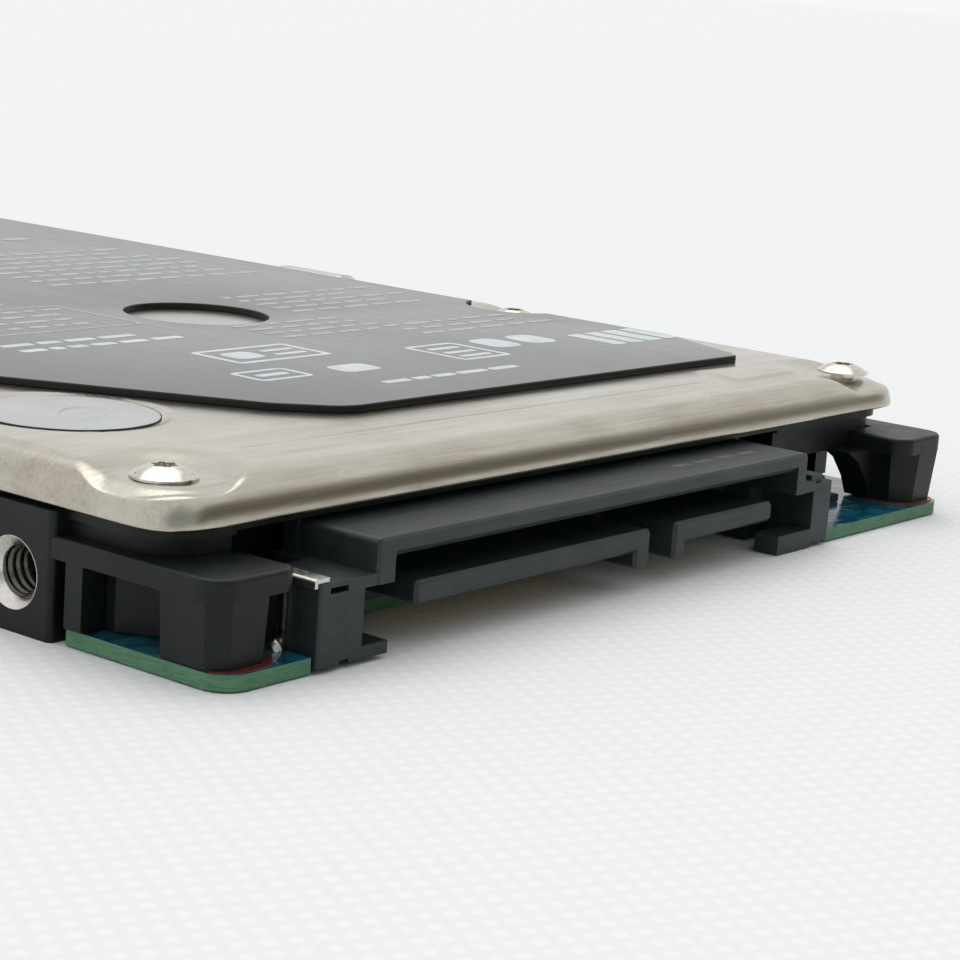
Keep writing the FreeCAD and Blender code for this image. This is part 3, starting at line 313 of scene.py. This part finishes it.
# ------------------------------------------------------------------ mesh helpers
def piece(name, verts, faces, mat, body="enclosure", smooth=True, replaces=()):
    me = bpy.data.meshes.new(name)
    me.from_pydata([tuple(v) for v in verts], [], [tuple(int(i) for i in f) for f in faces])
    bm = bmesh.new()
    bm.from_mesh(me)
    bmesh.ops.remove_doubles(bm, verts=bm.verts, dist=1e-7)
    bmesh.ops.dissolve_degenerate(bm, dist=1e-8, edges=bm.edges)
    bmesh.ops.recalc_face_normals(bm, faces=bm.faces)
    bm.to_mesh(me)
    bm.free()
    me.materials.append(mat.m)
    if smooth:
        me.polygons.foreach_set("use_smooth", [True] * len(me.polygons))
    o = bpy.data.objects.new(name, me)
    scene.collection.objects.link(o)
    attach(o, body)
    if replaces:
        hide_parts(*replaces)
    return o


def add_bevel(o, width, angle=32, seg=2, planar=True):
    if planar:
        d = o.modifiers.new("planar", "DECIMATE")
        d.decimate_type = "DISSOLVE"
        d.angle_limit = math.radians(0.6)
    b = o.modifiers.new("edge", "BEVEL")
    b.width = width * MM
    b.segments = seg
    b.limit_method = "ANGLE"
    b.angle_limit = math.radians(angle)
    b.harden_normals = False
    b.use_clamp_overlap = True
    return o


def shade(o, angle=32):
    """Smooth faces with sharp edges kept where the surface turns."""
    me = o.data
    me.polygons.foreach_set("use_smooth", [True] * len(me.polygons))
    bm = bmesh.new()
    bm.from_mesh(me)
    for e in bm.edges:
        e.smooth = not (len(e.link_faces) == 2 and e.calc_face_angle(0) > math.radians(angle))
    bm.to_mesh(me)
    bm.free()


def smooth01(t):
    t = np.clip(t, 0, 1)
    return t * t * (3 - 2 * t)


def cap(loops, z):
    """Triangles filling the first loop with the other loops left open, as points and faces at height z."""
    pts, edges = [], []
    for lp in loops:
        s = len(pts)
        pts += [Vector((float(x), float(y))) for x, y in lp]
        edges += [(s + i, s + (i + 1) % len(lp)) for i in range(len(lp))]
    v, e, f, *_ = delaunay_2d_cdt(pts, edges, [], 2, 1e-7)

    def inside(p, lp):
        x, y, c = p[0], p[1], False
        for i in range(len(lp)):
            x0, y0 = lp[i]
            x1, y1 = lp[(i + 1) % len(lp)]
            if (y0 > y) != (y1 > y) and x < (x1 - x0) * (y - y0) / (y1 - y0) + x0:
                c = not c
        return c
    keep = []
    for t in f:
        c = sum((v[i] for i in t), Vector((0, 0))) / len(t)
        if inside(c, loops[0]) and not any(inside(c, h) for h in loops[1:]):
            keep.append(t)
    return [(p[0], p[1], z) for p in v], keep


def prisms(outlines, z0, z1):
    """Thin closed prisms from outlines, each a list of loops in millimetres."""
    V, F = [], []
    for loops in outlines:
        tv, tf = cap(loops, z1 * MM)
        sc = [(x * MM, y * MM, z) for x, y, z in tv]
        b = len(V)
        V += sc
        F += [tuple(b + i for i in t) for t in tf]
        b2 = len(V)
        V += [(x, y, z0 * MM) for x, y, z in sc]
        F += [tuple(b2 + i for i in reversed(t)) for t in tf]
        for lp in loops:
            s = len(V)
            n = len(lp)
            V += [(x * MM, y * MM, z1 * MM) for x, y in lp] + [(x * MM, y * MM, z0 * MM) for x, y in lp]
            F += [(s + i, s + (i + 1) % n, s + n + (i + 1) % n, s + n + i) for i in range(n)]
    return V, F


# ------------------------------------------------------------------ cover
CX0, CX1, CY0, CY1, CR = -34.75, 34.75, -46.4, 49.9, 2.5
TOP, LOW, SHEET, BEND = 9.05, 6.85, 0.5, 1.35
SCREWS = [(-31.3, -42.3), (31.0, -43.5), (-31.3, -15.0), (31.3, -15.0), (-31.3, 46.3), (31.3, 46.3)]
SEAL = (-25.4, -28.9)
PAD1 = [(19.4, -42.6), (28.6, -42.6), (28.2, -39.0), (20.6, -38.6)]


NA = 40
SPREAD, POWER = 4.2, 3.62     # the corner's blend starts this far from the sharp corner; the power keeps its middle where a 2.5 mm arc's is


def corner_curve():
    """One quarter turn that leaves each side without a jump in curvature, as equally spaced points for a unit extent."""
    t = np.linspace(0, math.pi / 2, 1200)
    a = np.abs(np.cos(t)) ** (2 / POWER)
    b = np.abs(np.sin(t)) ** (2 / POWER)
    s_ = np.concatenate([[0], np.cumsum(np.hypot(np.diff(a), np.diff(b)))])
    w = np.linspace(0, s_[-1], NA + 1)
    return np.interp(w, s_, a), np.interp(w, s_, b)


CA, CB = corner_curve()


def ring_pts(d, step=0.30):
    """Points round the cover's outline moved inwards by d; the count doesn't depend on d."""
    e = max(SPREAD - d, 0.3)
    nx = int((CX1 - CX0 - 2 * SPREAD) / step)
    ny = int((CY1 - CY0 - 2 * SPREAD) / step)
    cs = [(CX0 + d + e, CY0 + d + e, 180), (CX1 - d - e, CY0 + d + e, 270), (CX1 - d - e, CY1 - d - e, 0), (CX0 + d + e, CY1 - d - e, 90)]
    out = []
    for k in range(4):
        x, y, a = cs[k]
        ca, sa = math.cos(math.radians(a)), math.sin(math.radians(a))
        arc = [(x + e * (CA[i] * ca - CB[i] * sa), y + e * (CA[i] * sa + CB[i] * ca)) for i in range(NA + 1)]
        out += arc[:-1]
        p = arc[-1]
        x2, y2, a2 = cs[(k + 1) % 4]
        q2 = (x2 + e * math.cos(math.radians(a2)), y2 + e * math.sin(math.radians(a2)))
        n = nx if k in (0, 2) else ny
        out += [(p[0] + (q2[0] - p[0]) * i / n, p[1] + (q2[1] - p[1]) * i / n) for i in range(n)]
    return np.array(out)


def poly_in(x, y, pts):
    """How far inside a convex outline each point is, in millimetres."""
    d = np.full(x.shape, 1e9)
    for i in range(len(pts)):
        x0, y0 = pts[i]
        x1, y1 = pts[(i + 1) % len(pts)]
        ln = math.hypot(x1 - x0, y1 - y0)
        d = np.minimum(d, ((x1 - x0) * (y - y0) - (y1 - y0) * (x - x0)) / ln)
    return d


def relief(x, y, z):
    """Height of the stamped features, added to the plain cover surface."""
    h = np.zeros(x.shape)
    up = smooth01((z - 7.75) / 1.15)
    for sx, sy in SCREWS:
        r = np.hypot(x - sx, y - sy)
        to_mid = np.clip((-math.copysign(0.7071, sx) * (x - sx) - math.copysign(0.7071, sy) * (y - sy)) / np.maximum(r, 0.01), -1, 1)
        ease = smooth01((to_mid + 0.25) / 1.1)
        h -= 0.46 * smooth01((3.85 + 1.1 * ease - r) / (0.85 + 2.1 * ease)) * up
    flat = smooth01((z - 9.0) / 0.05)
    h += 0.14 * smooth01(poly_in(x, y, PAD1) / 0.5 + 0.3) * flat
    px = np.maximum(np.abs(x - 32.9) - 1.0, 0)
    py = np.maximum(np.abs(y - 6.25) - 3.2, 0)
    h += 0.30 * smooth01((0.45 - np.hypot(px, py)) / 0.4) * smooth01((z - 8.6) / 0.4)
    r = np.hypot(x - SEAL[0], y - SEAL[1])
    h -= 0.12 * smooth01((5.62 - r) / 0.42)
    # shallow press marks along the connector edge
    run = smooth01((x + 27.5) / 3.0) * smooth01((17.8 - x) / 2.0)
    h += 0.055 * np.exp(-((y + 41.6 + 0.012 * x) / 0.42) ** 2) * run * flat
    h -= 0.050 * np.exp(-((y + 43.3 + 0.008 * x) / 0.55) ** 2) * smooth01((x + 26) / 6.0) * smooth01((27 - x) / 4.0) * flat
    h += 0.045 * np.exp(-((x + y + 66.5) / 1.6) ** 2) * smooth01((-17 - x) / 4.0) * smooth01((y + 44.0) / 4.0) * flat
    return h


def build_cover():
    prof, z, d = [(0.0, LOW + 0.06)], LOW + 0.06, 0.0
    for i in range(8):
        lean = math.radians(3.0 + 11.0 * (i + 0.5) / 8)
        z += 0.08
        d += 0.08 * math.tan(lean)
        prof.append((d, z))
    lean0 = math.radians(14.0)
    R = (TOP - z) / (1 - math.sin(lean0))
    d0, z0 = d, z
    for i in range(1, 19):
        t = lean0 + (math.pi / 2 - lean0) * i / 18
        prof.append((d0 + R * (math.cos(lean0) - math.cos(t)), z0 + R * (math.sin(t) - math.sin(lean0))))
    d = prof[-1][0] + 0.16
    while d < 17.0:
        prof.append((d, TOP))
        d += 0.16 if d < 6.5 else 0.30
    rings, n = [], None
    for d, z in prof:
        p = ring_pts(d)
        n = len(p)
        x, y = p[:, 0], p[:, 1]
        zz = np.full(n, z)
        zz = zz + relief(x, y, zz)
        w = np.array([noise.noise(Vector((a * 0.16, b * 0.16, z * 0.3))) for a, b in p])
        zz += 0.012 * w * smooth01((z - 8.2) / 0.6) * (1.0 if d < 11 else 0.0)
        rings.append(np.stack([x, y, np.minimum(zz, 9.42)], 1))
    # the rim turns under, then the inside of the sheet
    inner = [(0.05, LOW), (0.25, LOW - 0.0), (SHEET - 0.05, LOW), (SHEET, LOW + 0.06), (SHEET, 7.9)]
    for i in range(1, 7):
        t = math.radians(90.0 * i / 6)
        inner.append((SHEET + 0.6 * (1 - math.cos(t)), 7.95 + 0.6 * math.sin(t) * 0.999))
    inner += [(3.0, 8.55), (17.0, 8.55)]
    low = []
    for d, z in inner:
        p = ring_pts(d)
        x, y = p[:, 0], p[:, 1]
        dip = np.zeros(len(p))
        for sx, sy in SCREWS:
            dip -= 0.42 * smooth01((4.15 - np.hypot(x - sx, y - sy)) / 1.5) * smooth01((z - 7.9) / 0.5)
        low.append(np.stack([x, y, np.full(n, z) + dip], 1))
    rows = list(reversed(low)) + rings
    V = np.concatenate(rows) * MM
    F = []
    for r in range(len(rows) - 1):
        a, b = r * n, (r + 1) * n
        F += [(a + i, a + (i + 1) % n, b + (i + 1) % n, b + i) for i in range(n)]
    V = [tuple(v) for v in V]
    for row, flip in ((len(rows) - 1, False), (0, True)):
        lp = [(V[row * n + i][0], V[row * n + i][1]) for i in range(n)]
        zc = V[row * n][2]
        c = len(V)
        V.append((0.0, (CY0 + CY1) / 2 * MM, zc))
        for i in range(n):
            f = (row * n + i, row * n + (i + 1) % n, c)
            F.append(f[::-1] if flip else f)
    return piece("cover_sheet", V, F, M["cover_steel"], replaces=("top_cover",))


cover = build_cover()


# ------------------------------------------------------------------ damping plate, with its two layers at the edge
def top_loops(node, z, tol=2e-6):
    """Outlines of the flat faces of a node at height z, largest first, in millimetres."""
    me = NODES[node].data
    bm = bmesh.new()
    bm.from_mesh(me)
    bmesh.ops.remove_doubles(bm, verts=bm.verts, dist=1e-7)
    fs = [f for f in bm.faces if f.normal.z > 0.99 and abs(f.calc_center_median().z - z) < tol]
    count = {}
    for f in fs:
        for e in f.edges:
            count[e.index] = count.get(e.index, 0) + 1
    nxt = {}
    for f in fs:
        for lo in f.loops:
            if count[lo.edge.index] == 1:
                nxt[lo.vert.index] = lo.link_loop_next.vert.index
    bm.verts.ensure_lookup_table()
    loops, seen = [], set()
    for s in list(nxt):
        if s in seen:
            continue
        lp, v = [], s
        while v not in seen and v in nxt:
            seen.add(v)
            lp.append((bm.verts[v].co.x / MM, bm.verts[v].co.y / MM))
            v = nxt[v]
        loops.append(lp)
    bm.free()

    def area(lp):
        return abs(sum(a[0] * b[1] - b[0] * a[1] for a, b in zip(lp, lp[1:] + lp[:1]))) / 2
    return sorted(loops, key=area, reverse=True)


def denser(lp, step):
    out = []
    for a, b in zip(lp, lp[1:] + lp[:1]):
        k = max(1, int(math.hypot(b[0] - a[0], b[1] - a[1]) / step))
        out += [(a[0] + (b[0] - a[0]) * i / k, a[1] + (b[1] - a[1]) * i / k) for i in range(k)]
    return out


def inset(lp, d):
    """Each point of a closed outline moved to the left of its direction by d."""
    a = np.array(lp)
    e = np.roll(a, -1, 0) - a
    e /= np.maximum(np.linalg.norm(e, axis=1, keepdims=True), 1e-9)
    nrm = np.stack([-e[:, 1], e[:, 0]], 1)
    m = nrm + np.roll(nrm, 1, 0)
    m /= np.maximum((m * m).sum(1, keepdims=True), 0.5) / 2.0
    return a + m * d


def build_plate():
    z1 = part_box("damping_plate")[1].z / MM
    loops = [denser(lp, 1.2) for lp in top_loops("damping_plate", z1 * MM)]
    prof = [(0.10, 9.053), (0.03, 9.07), (0.0, 9.12), (0.0, 9.27), (0.035, 9.285), (0.035, 9.305), (0.0, 9.32), (0.0, z1 - 0.10), (0.015, z1 - 0.045), (0.06, z1 - 0.008), (0.12, z1)]
    V, F = [], []
    for lp in loops:
        rows = [inset(lp, d) for d, z in prof]
        n = len(lp)
        s = len(V)
        for (d, z), row in zip(prof, rows):
            V += [(x * MM, y * MM, z * MM) for x, y in row]
        for r in range(len(prof) - 1):
            a, b = s + r * n, s + (r + 1) * n
            F += [(a + i, a + (i + 1) % n, b + (i + 1) % n, b + i) for i in range(n)]
    for (d, z) in (prof[-1], prof[0]):
        tv, tf = cap([[tuple(p) for p in inset(lp, d)] for lp in loops], z * MM)
        s = len(V)
        V += [(x * MM, y * MM, zz) for x, y, zz in tv]
        F += [tuple(s + i for i in t) for t in tf]
    o = piece("damping_sheet", V, F, M["black_plate"], replaces=("damping_plate",))
    o.data.materials.append(M["plate_core"].m)
    for f_ in o.data.polygons:
        f_.material_index = 1 if f_.normal.z < 0.80 else 0
    shade(o, 40)
    return o, z1


plate, PLATE_Z = build_plate()


# ------------------------------------------------------------------ plain blocks and bars where the plate is printed
def oblong(cx, cy, w, h, a=0.0, r=None):
    r = min(w, h) * 0.32 if r is None else r
    out = []
    for k, (sx, sy) in enumerate(((1, 1), (-1, 1), (-1, -1), (1, -1))):
        for i in range(4):
            t = math.radians(90 * k + 30 * i)
            out.append((sx * (w / 2 - r) + r * math.cos(t), sy * (h / 2 - r) + r * math.sin(t)))
    c, s = math.cos(a), math.sin(a)
    return [(cx + c * x - s * y, cy + s * x + c * y) for x, y in out]


def frame_box(cx, cy, w, h, line, a=0.0, r=0.5):
    return [oblong(cx, cy, w, h, a, r), oblong(cx, cy, w - 2 * line, h - 2 * line, a, max(r - line, 0.12))]


def bars(x0, y0, length, rows, pitch, h, seed, gap=0.55):
    """Rows of short blank bars of uneven length."""
    rng = np.random.RandomState(seed)
    out = []
    for k in range(rows):
        x, end = x0, x0 + length * rng.uniform(0.75, 1.0)
        while x < end:
            w = rng.uniform(0.9, 3.0)
            out.append([oblong(x + w / 2, y0 - pitch * k, w, h)])
            x += w + gap
    return out


near = [
    frame_box(-8.4, -27.7, 4.6, 3.0, 0.42),
    [oblong(-8.4, -27.7, 2.6, 0.7)],
    frame_box(-3.2, -21.9, 8.4, 4.6, 0.50),
    [oblong(-4.9, -21.9, 2.6, 2.2)],
    [oblong(-1.3, -21.3, 2.8, 0.6)],
    [oblong(-1.3, -22.6, 2.8, 0.6)],
    [oblong(-1.9, -28.4, 3.4, 2.2)],
    frame_box(9.6, -27.2, 5.0, 5.4, 0.45),
    [oblong(9.6, -26.0, 3.0, 0.6)],
    [oblong(9.6, -27.4, 3.0, 0.6)],
    [oblong(9.6, -28.7, 3.0, 0.6)],
    [oblong(14.9, -26.1, 2.9, 3.2)],
    [oblong(18.8, -26.1, 2.9, 3.2)],
]
near += bars(-4.3, -32.9, 14.5, 1, 1.0, 0.72, 3, 0.35)
for i, w in enumerate((1.5, 1.5, 1.7, 1.4)):
    near.append([oblong(23.4 + 2.05 * i, -28.4, w, 4.4, 0.0, 0.3)])
far = []
far += bars(3.0, -13.2, 11.5, 4, 1.55, 0.55, 5)
far += bars(13.5, -17.5, 14.0, 3, 1.7, 0.55, 6)
near += bars(-16.4, -12.8, 12.6, 2, 1.9, 0.80, 7, 0.4)
far.append([oblong(-9.6, -5.2, 16.4, 8.8, 0.0, 0.4), oblong(-9.6, -5.2, 15.9, 8.3, 0.0, 0.3)])
far += bars(-16.6, -2.2, 13.6, 4, 1.85, 0.62, 8)
far += bars(-21.0, 4.4, 17.0, 3, 1.8, 0.66, 9)
far += bars(12.5, -3.0, 15.0, 5, 1.7, 0.58, 10)
far += bars(-23.0, 21.6, 26.0, 6, 2.3, 0.80, 11)
far += bars(5.0, 21.6, 22.0, 8, 2.1, 0.75, 12)
far += bars(-23.0, 39.1, 47.0, 6, 2.4, 0.95, 13)
for name, group, ink in (("plate_marks_near", near, "print_ink"), ("plate_marks_far", far, "print_ink_soft")):
    mv, mf = prisms(group, PLATE_Z + 0.001, PLATE_Z + 0.008)
    piece(name, mv, mf, M[ink], smooth=False)
# a faint row of plain dashes on the connector's upper face
ticks = [[oblong(5.0 + 2.35 * i, -48.2, 1.75, 0.5, 0.0, 0.2)] for i in range(4)]
tv, tf = prisms(ticks, 6.2005, 6.206)
piece("roof_ticks", tv, tf, M["resin_print"], smooth=False)


# ------------------------------------------------------------------ round seal: thin label, slightly wavy, with a pressed crescent
def build_seal():
    z0 = TOP - 0.12
    nr, na = 84, 190
    V, F = [], []

    def height(x, y):
        h = 0.012 * noise.noise(Vector((x * 0.45, y * 0.45, 3.1)))
        r = math.hypot(x, y)
        u = x * 0.79 + y * 0.61
        v = -x * 0.61 + y * 0.79
        rr = math.hypot(u * 1.0, (v + 0.9) * 1.35)
        fade_ = 1.0 if v < 0.4 else math.exp(-((v - 0.4) / 0.5) ** 2)
        h -= 0.085 * float(smooth01((1.95 - rr) / 0.16)) * fade_ * float(smooth01((rr - 1.1) / 0.8))
        h -= 0.020 * math.exp(-(r / 1.5) ** 2)
        return h
    for i in range(nr + 1):
        r = 4.9 * i / nr
        for k in range(na):
            a = 2 * math.pi * k / na
            rr = r * (1 + (0.004 * math.sin(5 * a) + 0.003 * math.sin(11 * a + 1)) * (i / nr))
            x, y = rr * math.cos(a), rr * math.sin(a)
            e = 0.028 * smooth01((r - 4.78) / 0.12)
            V.append(((SEAL[0] + x) * MM, (SEAL[1] + y) * MM, (z0 + 0.105 + height(x, y) - float(e)) * MM))
    for i in range(nr):
        for k in range(na):
            a, b = i * na, (i + 1) * na
            F.append((a + k, a + (k + 1) % na, b + (k + 1) % na, b + k))
    s = len(V)
    for k in range(na):
        x, y, _ = V[nr * na + k]
        V.append((x, y, (z0 + 0.004) * MM))
    for k in range(na):
        F.append((nr * na + k, nr * na + (k + 1) % na, s + (k + 1) % na, s + k))
    F.append(tuple(s + k for k in reversed(range(na))))
    o = piece("seal_sticker", V, F, M["seal_label"], replaces=("round_seal",))
    shade(o, 50)
    return o


seal = build_seal()
# a thin dark ring just under the rim of the label, standing in for the shadow along its edge: painted shadow
gv, gf = prisms([[[(SEAL[0] + r_ * math.cos(2 * math.pi * i / 96), SEAL[1] + r_ * math.sin(2 * math.pi * i / 96)) for i in range(96)] for r_ in (4.965, 4.6)]], TOP - 0.118, TOP - 0.045)
piece("seal_rim_painted_shadow", gv, gf, M["rubber"], smooth=False)


# ------------------------------------------------------------------ tapped holes: countersink in bare metal, thread turns in a darkened copy of it that is painted shade inside the hole
def tapped(name, origin, axis, depth, mouth, chamfer, r=1.345, pitch=0.5, ridge=0.17):
    ax = Vector(axis).normalized()
    u = ax.orthogonal().normalized()
    w = ax.cross(u)
    na, V, F = 56, [], []
    rows = [(0.0, r + mouth), (chamfer * 0.5, r - 0.03 + mouth * 0.5), (chamfer, r - 0.03)]
    steps = int((depth - chamfer - 0.1) / 0.045)
    for i in range(1, steps + 1):
        rows.append((chamfer + 0.045 * i, None))
    rows.append((depth - 0.012, r * 0.98))
    rows.append((depth - 0.010, 0.02))
    o0 = Vector(origin)
    for s, rad in rows:
        for k in range(na):
            a = 2 * math.pi * k / na
            if rad is None:
                ph = ((s - chamfer) / pitch - k / na) % 1.0
                tr = 1 - abs(2 * ph - 1)
                fade = min(1.0, (s - chamfer) / 0.25)
                q_ = r - 0.03 - ridge * fade * float(smooth01(tr * 1.15))
            else:
                q_ = rad
            p = o0 - ax * s + (u * math.cos(a) + w * math.sin(a)) * q_
            V.append(tuple(p * MM))
    n = len(rows)
    for i in range(n - 1):
        a, b = i * na, (i + 1) * na
        F += [(a + k, a + (k + 1) % na, b + (k + 1) % na, b + k) for k in range(na)]
    F.append(tuple((n - 1) * na + k for k in range(na)))
    # the sleeve's hidden outer side, which closes the piece
    s0 = len(V)
    back = [(0.012, r + mouth + 0.02), (chamfer + 0.02, r + 0.06), (depth + 0.0, r + 0.06), (depth + 0.0, 0.02)]
    for s, rad in back:
        for k in range(na):
            a = 2 * math.pi * k / na
            V.append(tuple((o0 - ax * s + (u * math.cos(a) + w * math.sin(a)) * rad) * MM))
    F += [(k, (k + 1) % na, s0 + (k + 1) % na, s0 + k) for k in range(na)]
    for i in range(len(back) - 1):
        a, b = s0 + i * na, s0 + (i + 1) * na
        F += [(a + k, a + (k + 1) % na, b + (k + 1) % na, b + k) for k in range(na)]
    F.append(tuple(s0 + (len(back) - 1) * na + k for k in range(na)))
    o = piece(name, V, F, M["cut_metal"])
    # faces deeper than the countersink take the darker thread material, painted shade inside the hole
    o.data.materials.append(M["thread_painted_shade"].m)
    for f_ in o.data.polygons:
        f_.material_index = 1 if (o0 * MM - f_.center).dot(ax) > (chamfer + 0.02) * MM else 0
    shade(o, 60)
    return o


for side, sx in (("left", -1), ("right", 1)):
    for end, y in (("front", -35.7), ("rear", 40.9)):
        tapped("thread_%s_%s" % (side, end), (sx * 34.923, y, 3.0), (sx, 0, 0), 2.49, 0.50, 0.55)
        tapped("thread_bottom_%s_%s" % (side, end), (sx * 30.86, y, 0.002), (0, 0, -1), 2.59, 0.38, 0.42)


# ------------------------------------------------------------------ solder: uneven blobs that climb the straps
def blob(name, cx, cy, z, r, h, seed):
    bm = bmesh.new()
    bmesh.ops.create_icosphere(bm, subdivisions=4, radius=1.0)
    for v in bm.verts:
        p = v.co.copy()
        k = 1 + 0.10 * noise.noise(p * 1.7 + Vector((seed, 0, 0))) + 0.03 * noise.noise(p * 5 + Vector((seed, 3, 0)))
        flat = max(p.z, -0.12)
        v.co = Vector(((cx + p.x * r * k) * MM, (cy + p.y * r * k) * MM, (z + max(0.0, flat) * h * k) * MM))
    V = [v.co.copy() for v in bm.verts]
    F = [[v.index for v in f.verts] for f in bm.faces]
    bm.free()
    return V, F


sv, sf = [], []
for i, s in enumerate((-1, 1)):
    lo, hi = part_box("solder_joints")
    cx = (lo.x / MM + 0.47) if s < 0 else (hi.x / MM - 0.47)
    v, f = blob("b", cx, -48.15, 0.902, 0.43, 0.52, 3.0 * i + 1)
    f = [[k + len(sv) for k in t] for t in f]
    sv += v
    sf += f
piece("solder_beads", sv, sf, M["tinned"], replaces=("solder_joints",))


# ------------------------------------------------------------------ edges of the carried-over parts
for n, wdt, ang in (("base_casting", 0.16, 34), ("connector_housing", 0.07, 34), ("hold_down_straps", 0.10, 34), ("cover_screws", 0.05, 40),
                    ("circuit_board", 0.03, 40), ("controller_chip", 0.05, 30), ("memory_chip", 0.05, 30), ("motor_driver_chip", 0.05, 30),
                    ("flash_chip", 0.04, 30), ("board_components", 0.03, 30), ("power_contacts", 0.02, 40), ("signal_contacts", 0.02, 40)):
    add_bevel(NODES[n], wdt, ang)


# ------------------------------------------------------------------ table, light and camera
bpy.ops.mesh.primitive_grid_add(x_subdivisions=8, y_subdivisions=8, size=80.0, location=(0, 0, 0))
floor = bpy.context.object
floor.name = "table"
q = Mat("table_cloth")
wv = q.n("ShaderNodeTexWave", wave_type="BANDS", bands_direction="X")
q.t.links.new(q.stretch((1, 1, 1), (0, 0, 0.5)), wv.inputs["Vector"])
wv.inputs["Scale"].default_value = 300.0
wv.inputs["Distortion"].default_value = 0.6
wv2 = q.n("ShaderNodeTexWave", wave_type="BANDS", bands_direction="Y")
q.t.links.new(q.stretch((1, 1, 1), (0, 0, 0.5)), wv2.inputs["Vector"])
wv2.inputs["Scale"].default_value = 300.0
wv2.inputs["Distortion"].default_value = 0.6
weave = q.calc("MULTIPLY", wv.outputs["Fac"], wv2.outputs["Fac"])
grain = q.noise(900.0, 4, 0.6)
q.set(Base_Color=q.mix(q.span(weave, 0.1, 0.7), (0.835, 0.845, 0.845), (0.88, 0.885, 0.885)), Roughness=q.span(grain, 0.3, 0.7, 0.70, 0.85))
q.set(Normal=q.bump(q.calc("ADD", weave, q.calc("MULTIPLY", grain, 0.35)), 0.022))
q.b.inputs["Specular IOR Level"].default_value = 0.2
floor.data.materials.append(q.m)
floor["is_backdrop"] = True

world = bpy.data.worlds.new("studio")
world.use_nodes = True
wt = world.node_tree
wt.nodes.clear()
wout = wt.nodes.new("ShaderNodeOutputWorld")
seen = wt.nodes.new("ShaderNodeBackground")
seen.inputs[0].default_value = (0.93, 0.94, 0.94, 1)
seen.inputs[1].default_value = 1.0
lit = wt.nodes.new("ShaderNodeBackground")
lit.inputs[1].default_value = 0.90
tcw = wt.nodes.new("ShaderNodeTexCoord")
# an even white room with a darker stretch low in front of the connector end
away = wt.nodes.new("ShaderNodeVectorMath")
away.operation = "DOT_PRODUCT"
wt.links.new(tcw.outputs["Generated"], away.inputs[0])
away.inputs[1].default_value = Vector((0.66, -0.74, 0.10)).normalized()
rampw = wt.nodes.new("ShaderNodeMapRange")
rampw.interpolation_type = "SMOOTHSTEP"
wt.links.new(away.outputs["Value"], rampw.inputs[0])
rampw.inputs[1].default_value = 0.83
rampw.inputs[2].default_value = 0.985
mixw = wt.nodes.new("ShaderNodeMix")
mixw.data_type = "RGBA"
wt.links.new(rampw.outputs[0], mixw.inputs[0])
mixw.inputs[6].default_value = (1.0, 1.0, 1.0, 1)
mixw.inputs[7].default_value = (0.185, 0.162, 0.125, 1)
# and a little less light from low down on the left front side
side = wt.nodes.new("ShaderNodeVectorMath")
side.operation = "DOT_PRODUCT"
wt.links.new(tcw.outputs["Generated"], side.inputs[0])
side.inputs[1].default_value = Vector((-0.35, -0.93, 0.08)).normalized()
ramps = wt.nodes.new("ShaderNodeMapRange")
ramps.interpolation_type = "SMOOTHSTEP"
wt.links.new(side.outputs["Value"], ramps.inputs[0])
ramps.inputs[1].default_value = 0.50
ramps.inputs[2].default_value = 0.95
mixs = wt.nodes.new("ShaderNodeMix")
mixs.data_type = "RGBA"
mixs.blend_type = "MULTIPLY"
wt.links.new(ramps.outputs[0], mixs.inputs[0])
wt.links.new(mixw.outputs[2], mixs.inputs[6])
mixs.inputs[7].default_value = (0.42, 0.45, 0.46, 1)
wt.links.new(mixs.outputs[2], lit.inputs[0])
path = wt.nodes.new("ShaderNodeLightPath")
pick = wt.nodes.new("ShaderNodeMixShader")
wt.links.new(path.outputs["Is Camera Ray"], pick.inputs[0])
wt.links.new(lit.outputs[0], pick.inputs[1])
wt.links.new(seen.outputs[0], pick.inputs[2])
wt.links.new(pick.outputs[0], wout.inputs[0])
scene.world = world


sun = bpy.data.lights.new("soft_top", "SUN")
sun.energy = 0.75
sun.angle = math.radians(50)
so = bpy.data.objects.new("soft_top", sun)
scene.collection.objects.link(so)
so.rotation_euler = Vector((0.25, 0.35, 1.0)).to_track_quat("Z", "Y").to_euler()

cam = bpy.data.cameras.new("camera")
co = bpy.data.objects.new("camera", cam)
scene.collection.objects.link(co)
yaw, pitch, roll = (math.radians(a) for a in (52.149, 11.565, 4.158))
f = Vector((math.sin(yaw) * math.cos(pitch), math.cos(yaw) * math.cos(pitch), -math.sin(pitch)))
R = Vector((math.cos(yaw), -math.sin(yaw), 0))
u = R.cross(f)
r2 = math.cos(roll) * R + math.sin(roll) * u
u2 = -math.sin(roll) * R + math.cos(roll) * u
co.matrix_world = Matrix(((r2.x, u2.x, -f.x, -0.112878), (r2.y, u2.y, -f.y, -0.124988), (r2.z, u2.z, -f.z, 0.033139), (0, 0, 0, 1)))
cam.sensor_width = 36.0
cam.lens = 2438.1 * 36.0 / 960.0
cam.clip_start = 0.001
cam.clip_end = 200.0
scene.camera = co
scene.view_settings.view_transform = "Standard"

lo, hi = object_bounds()
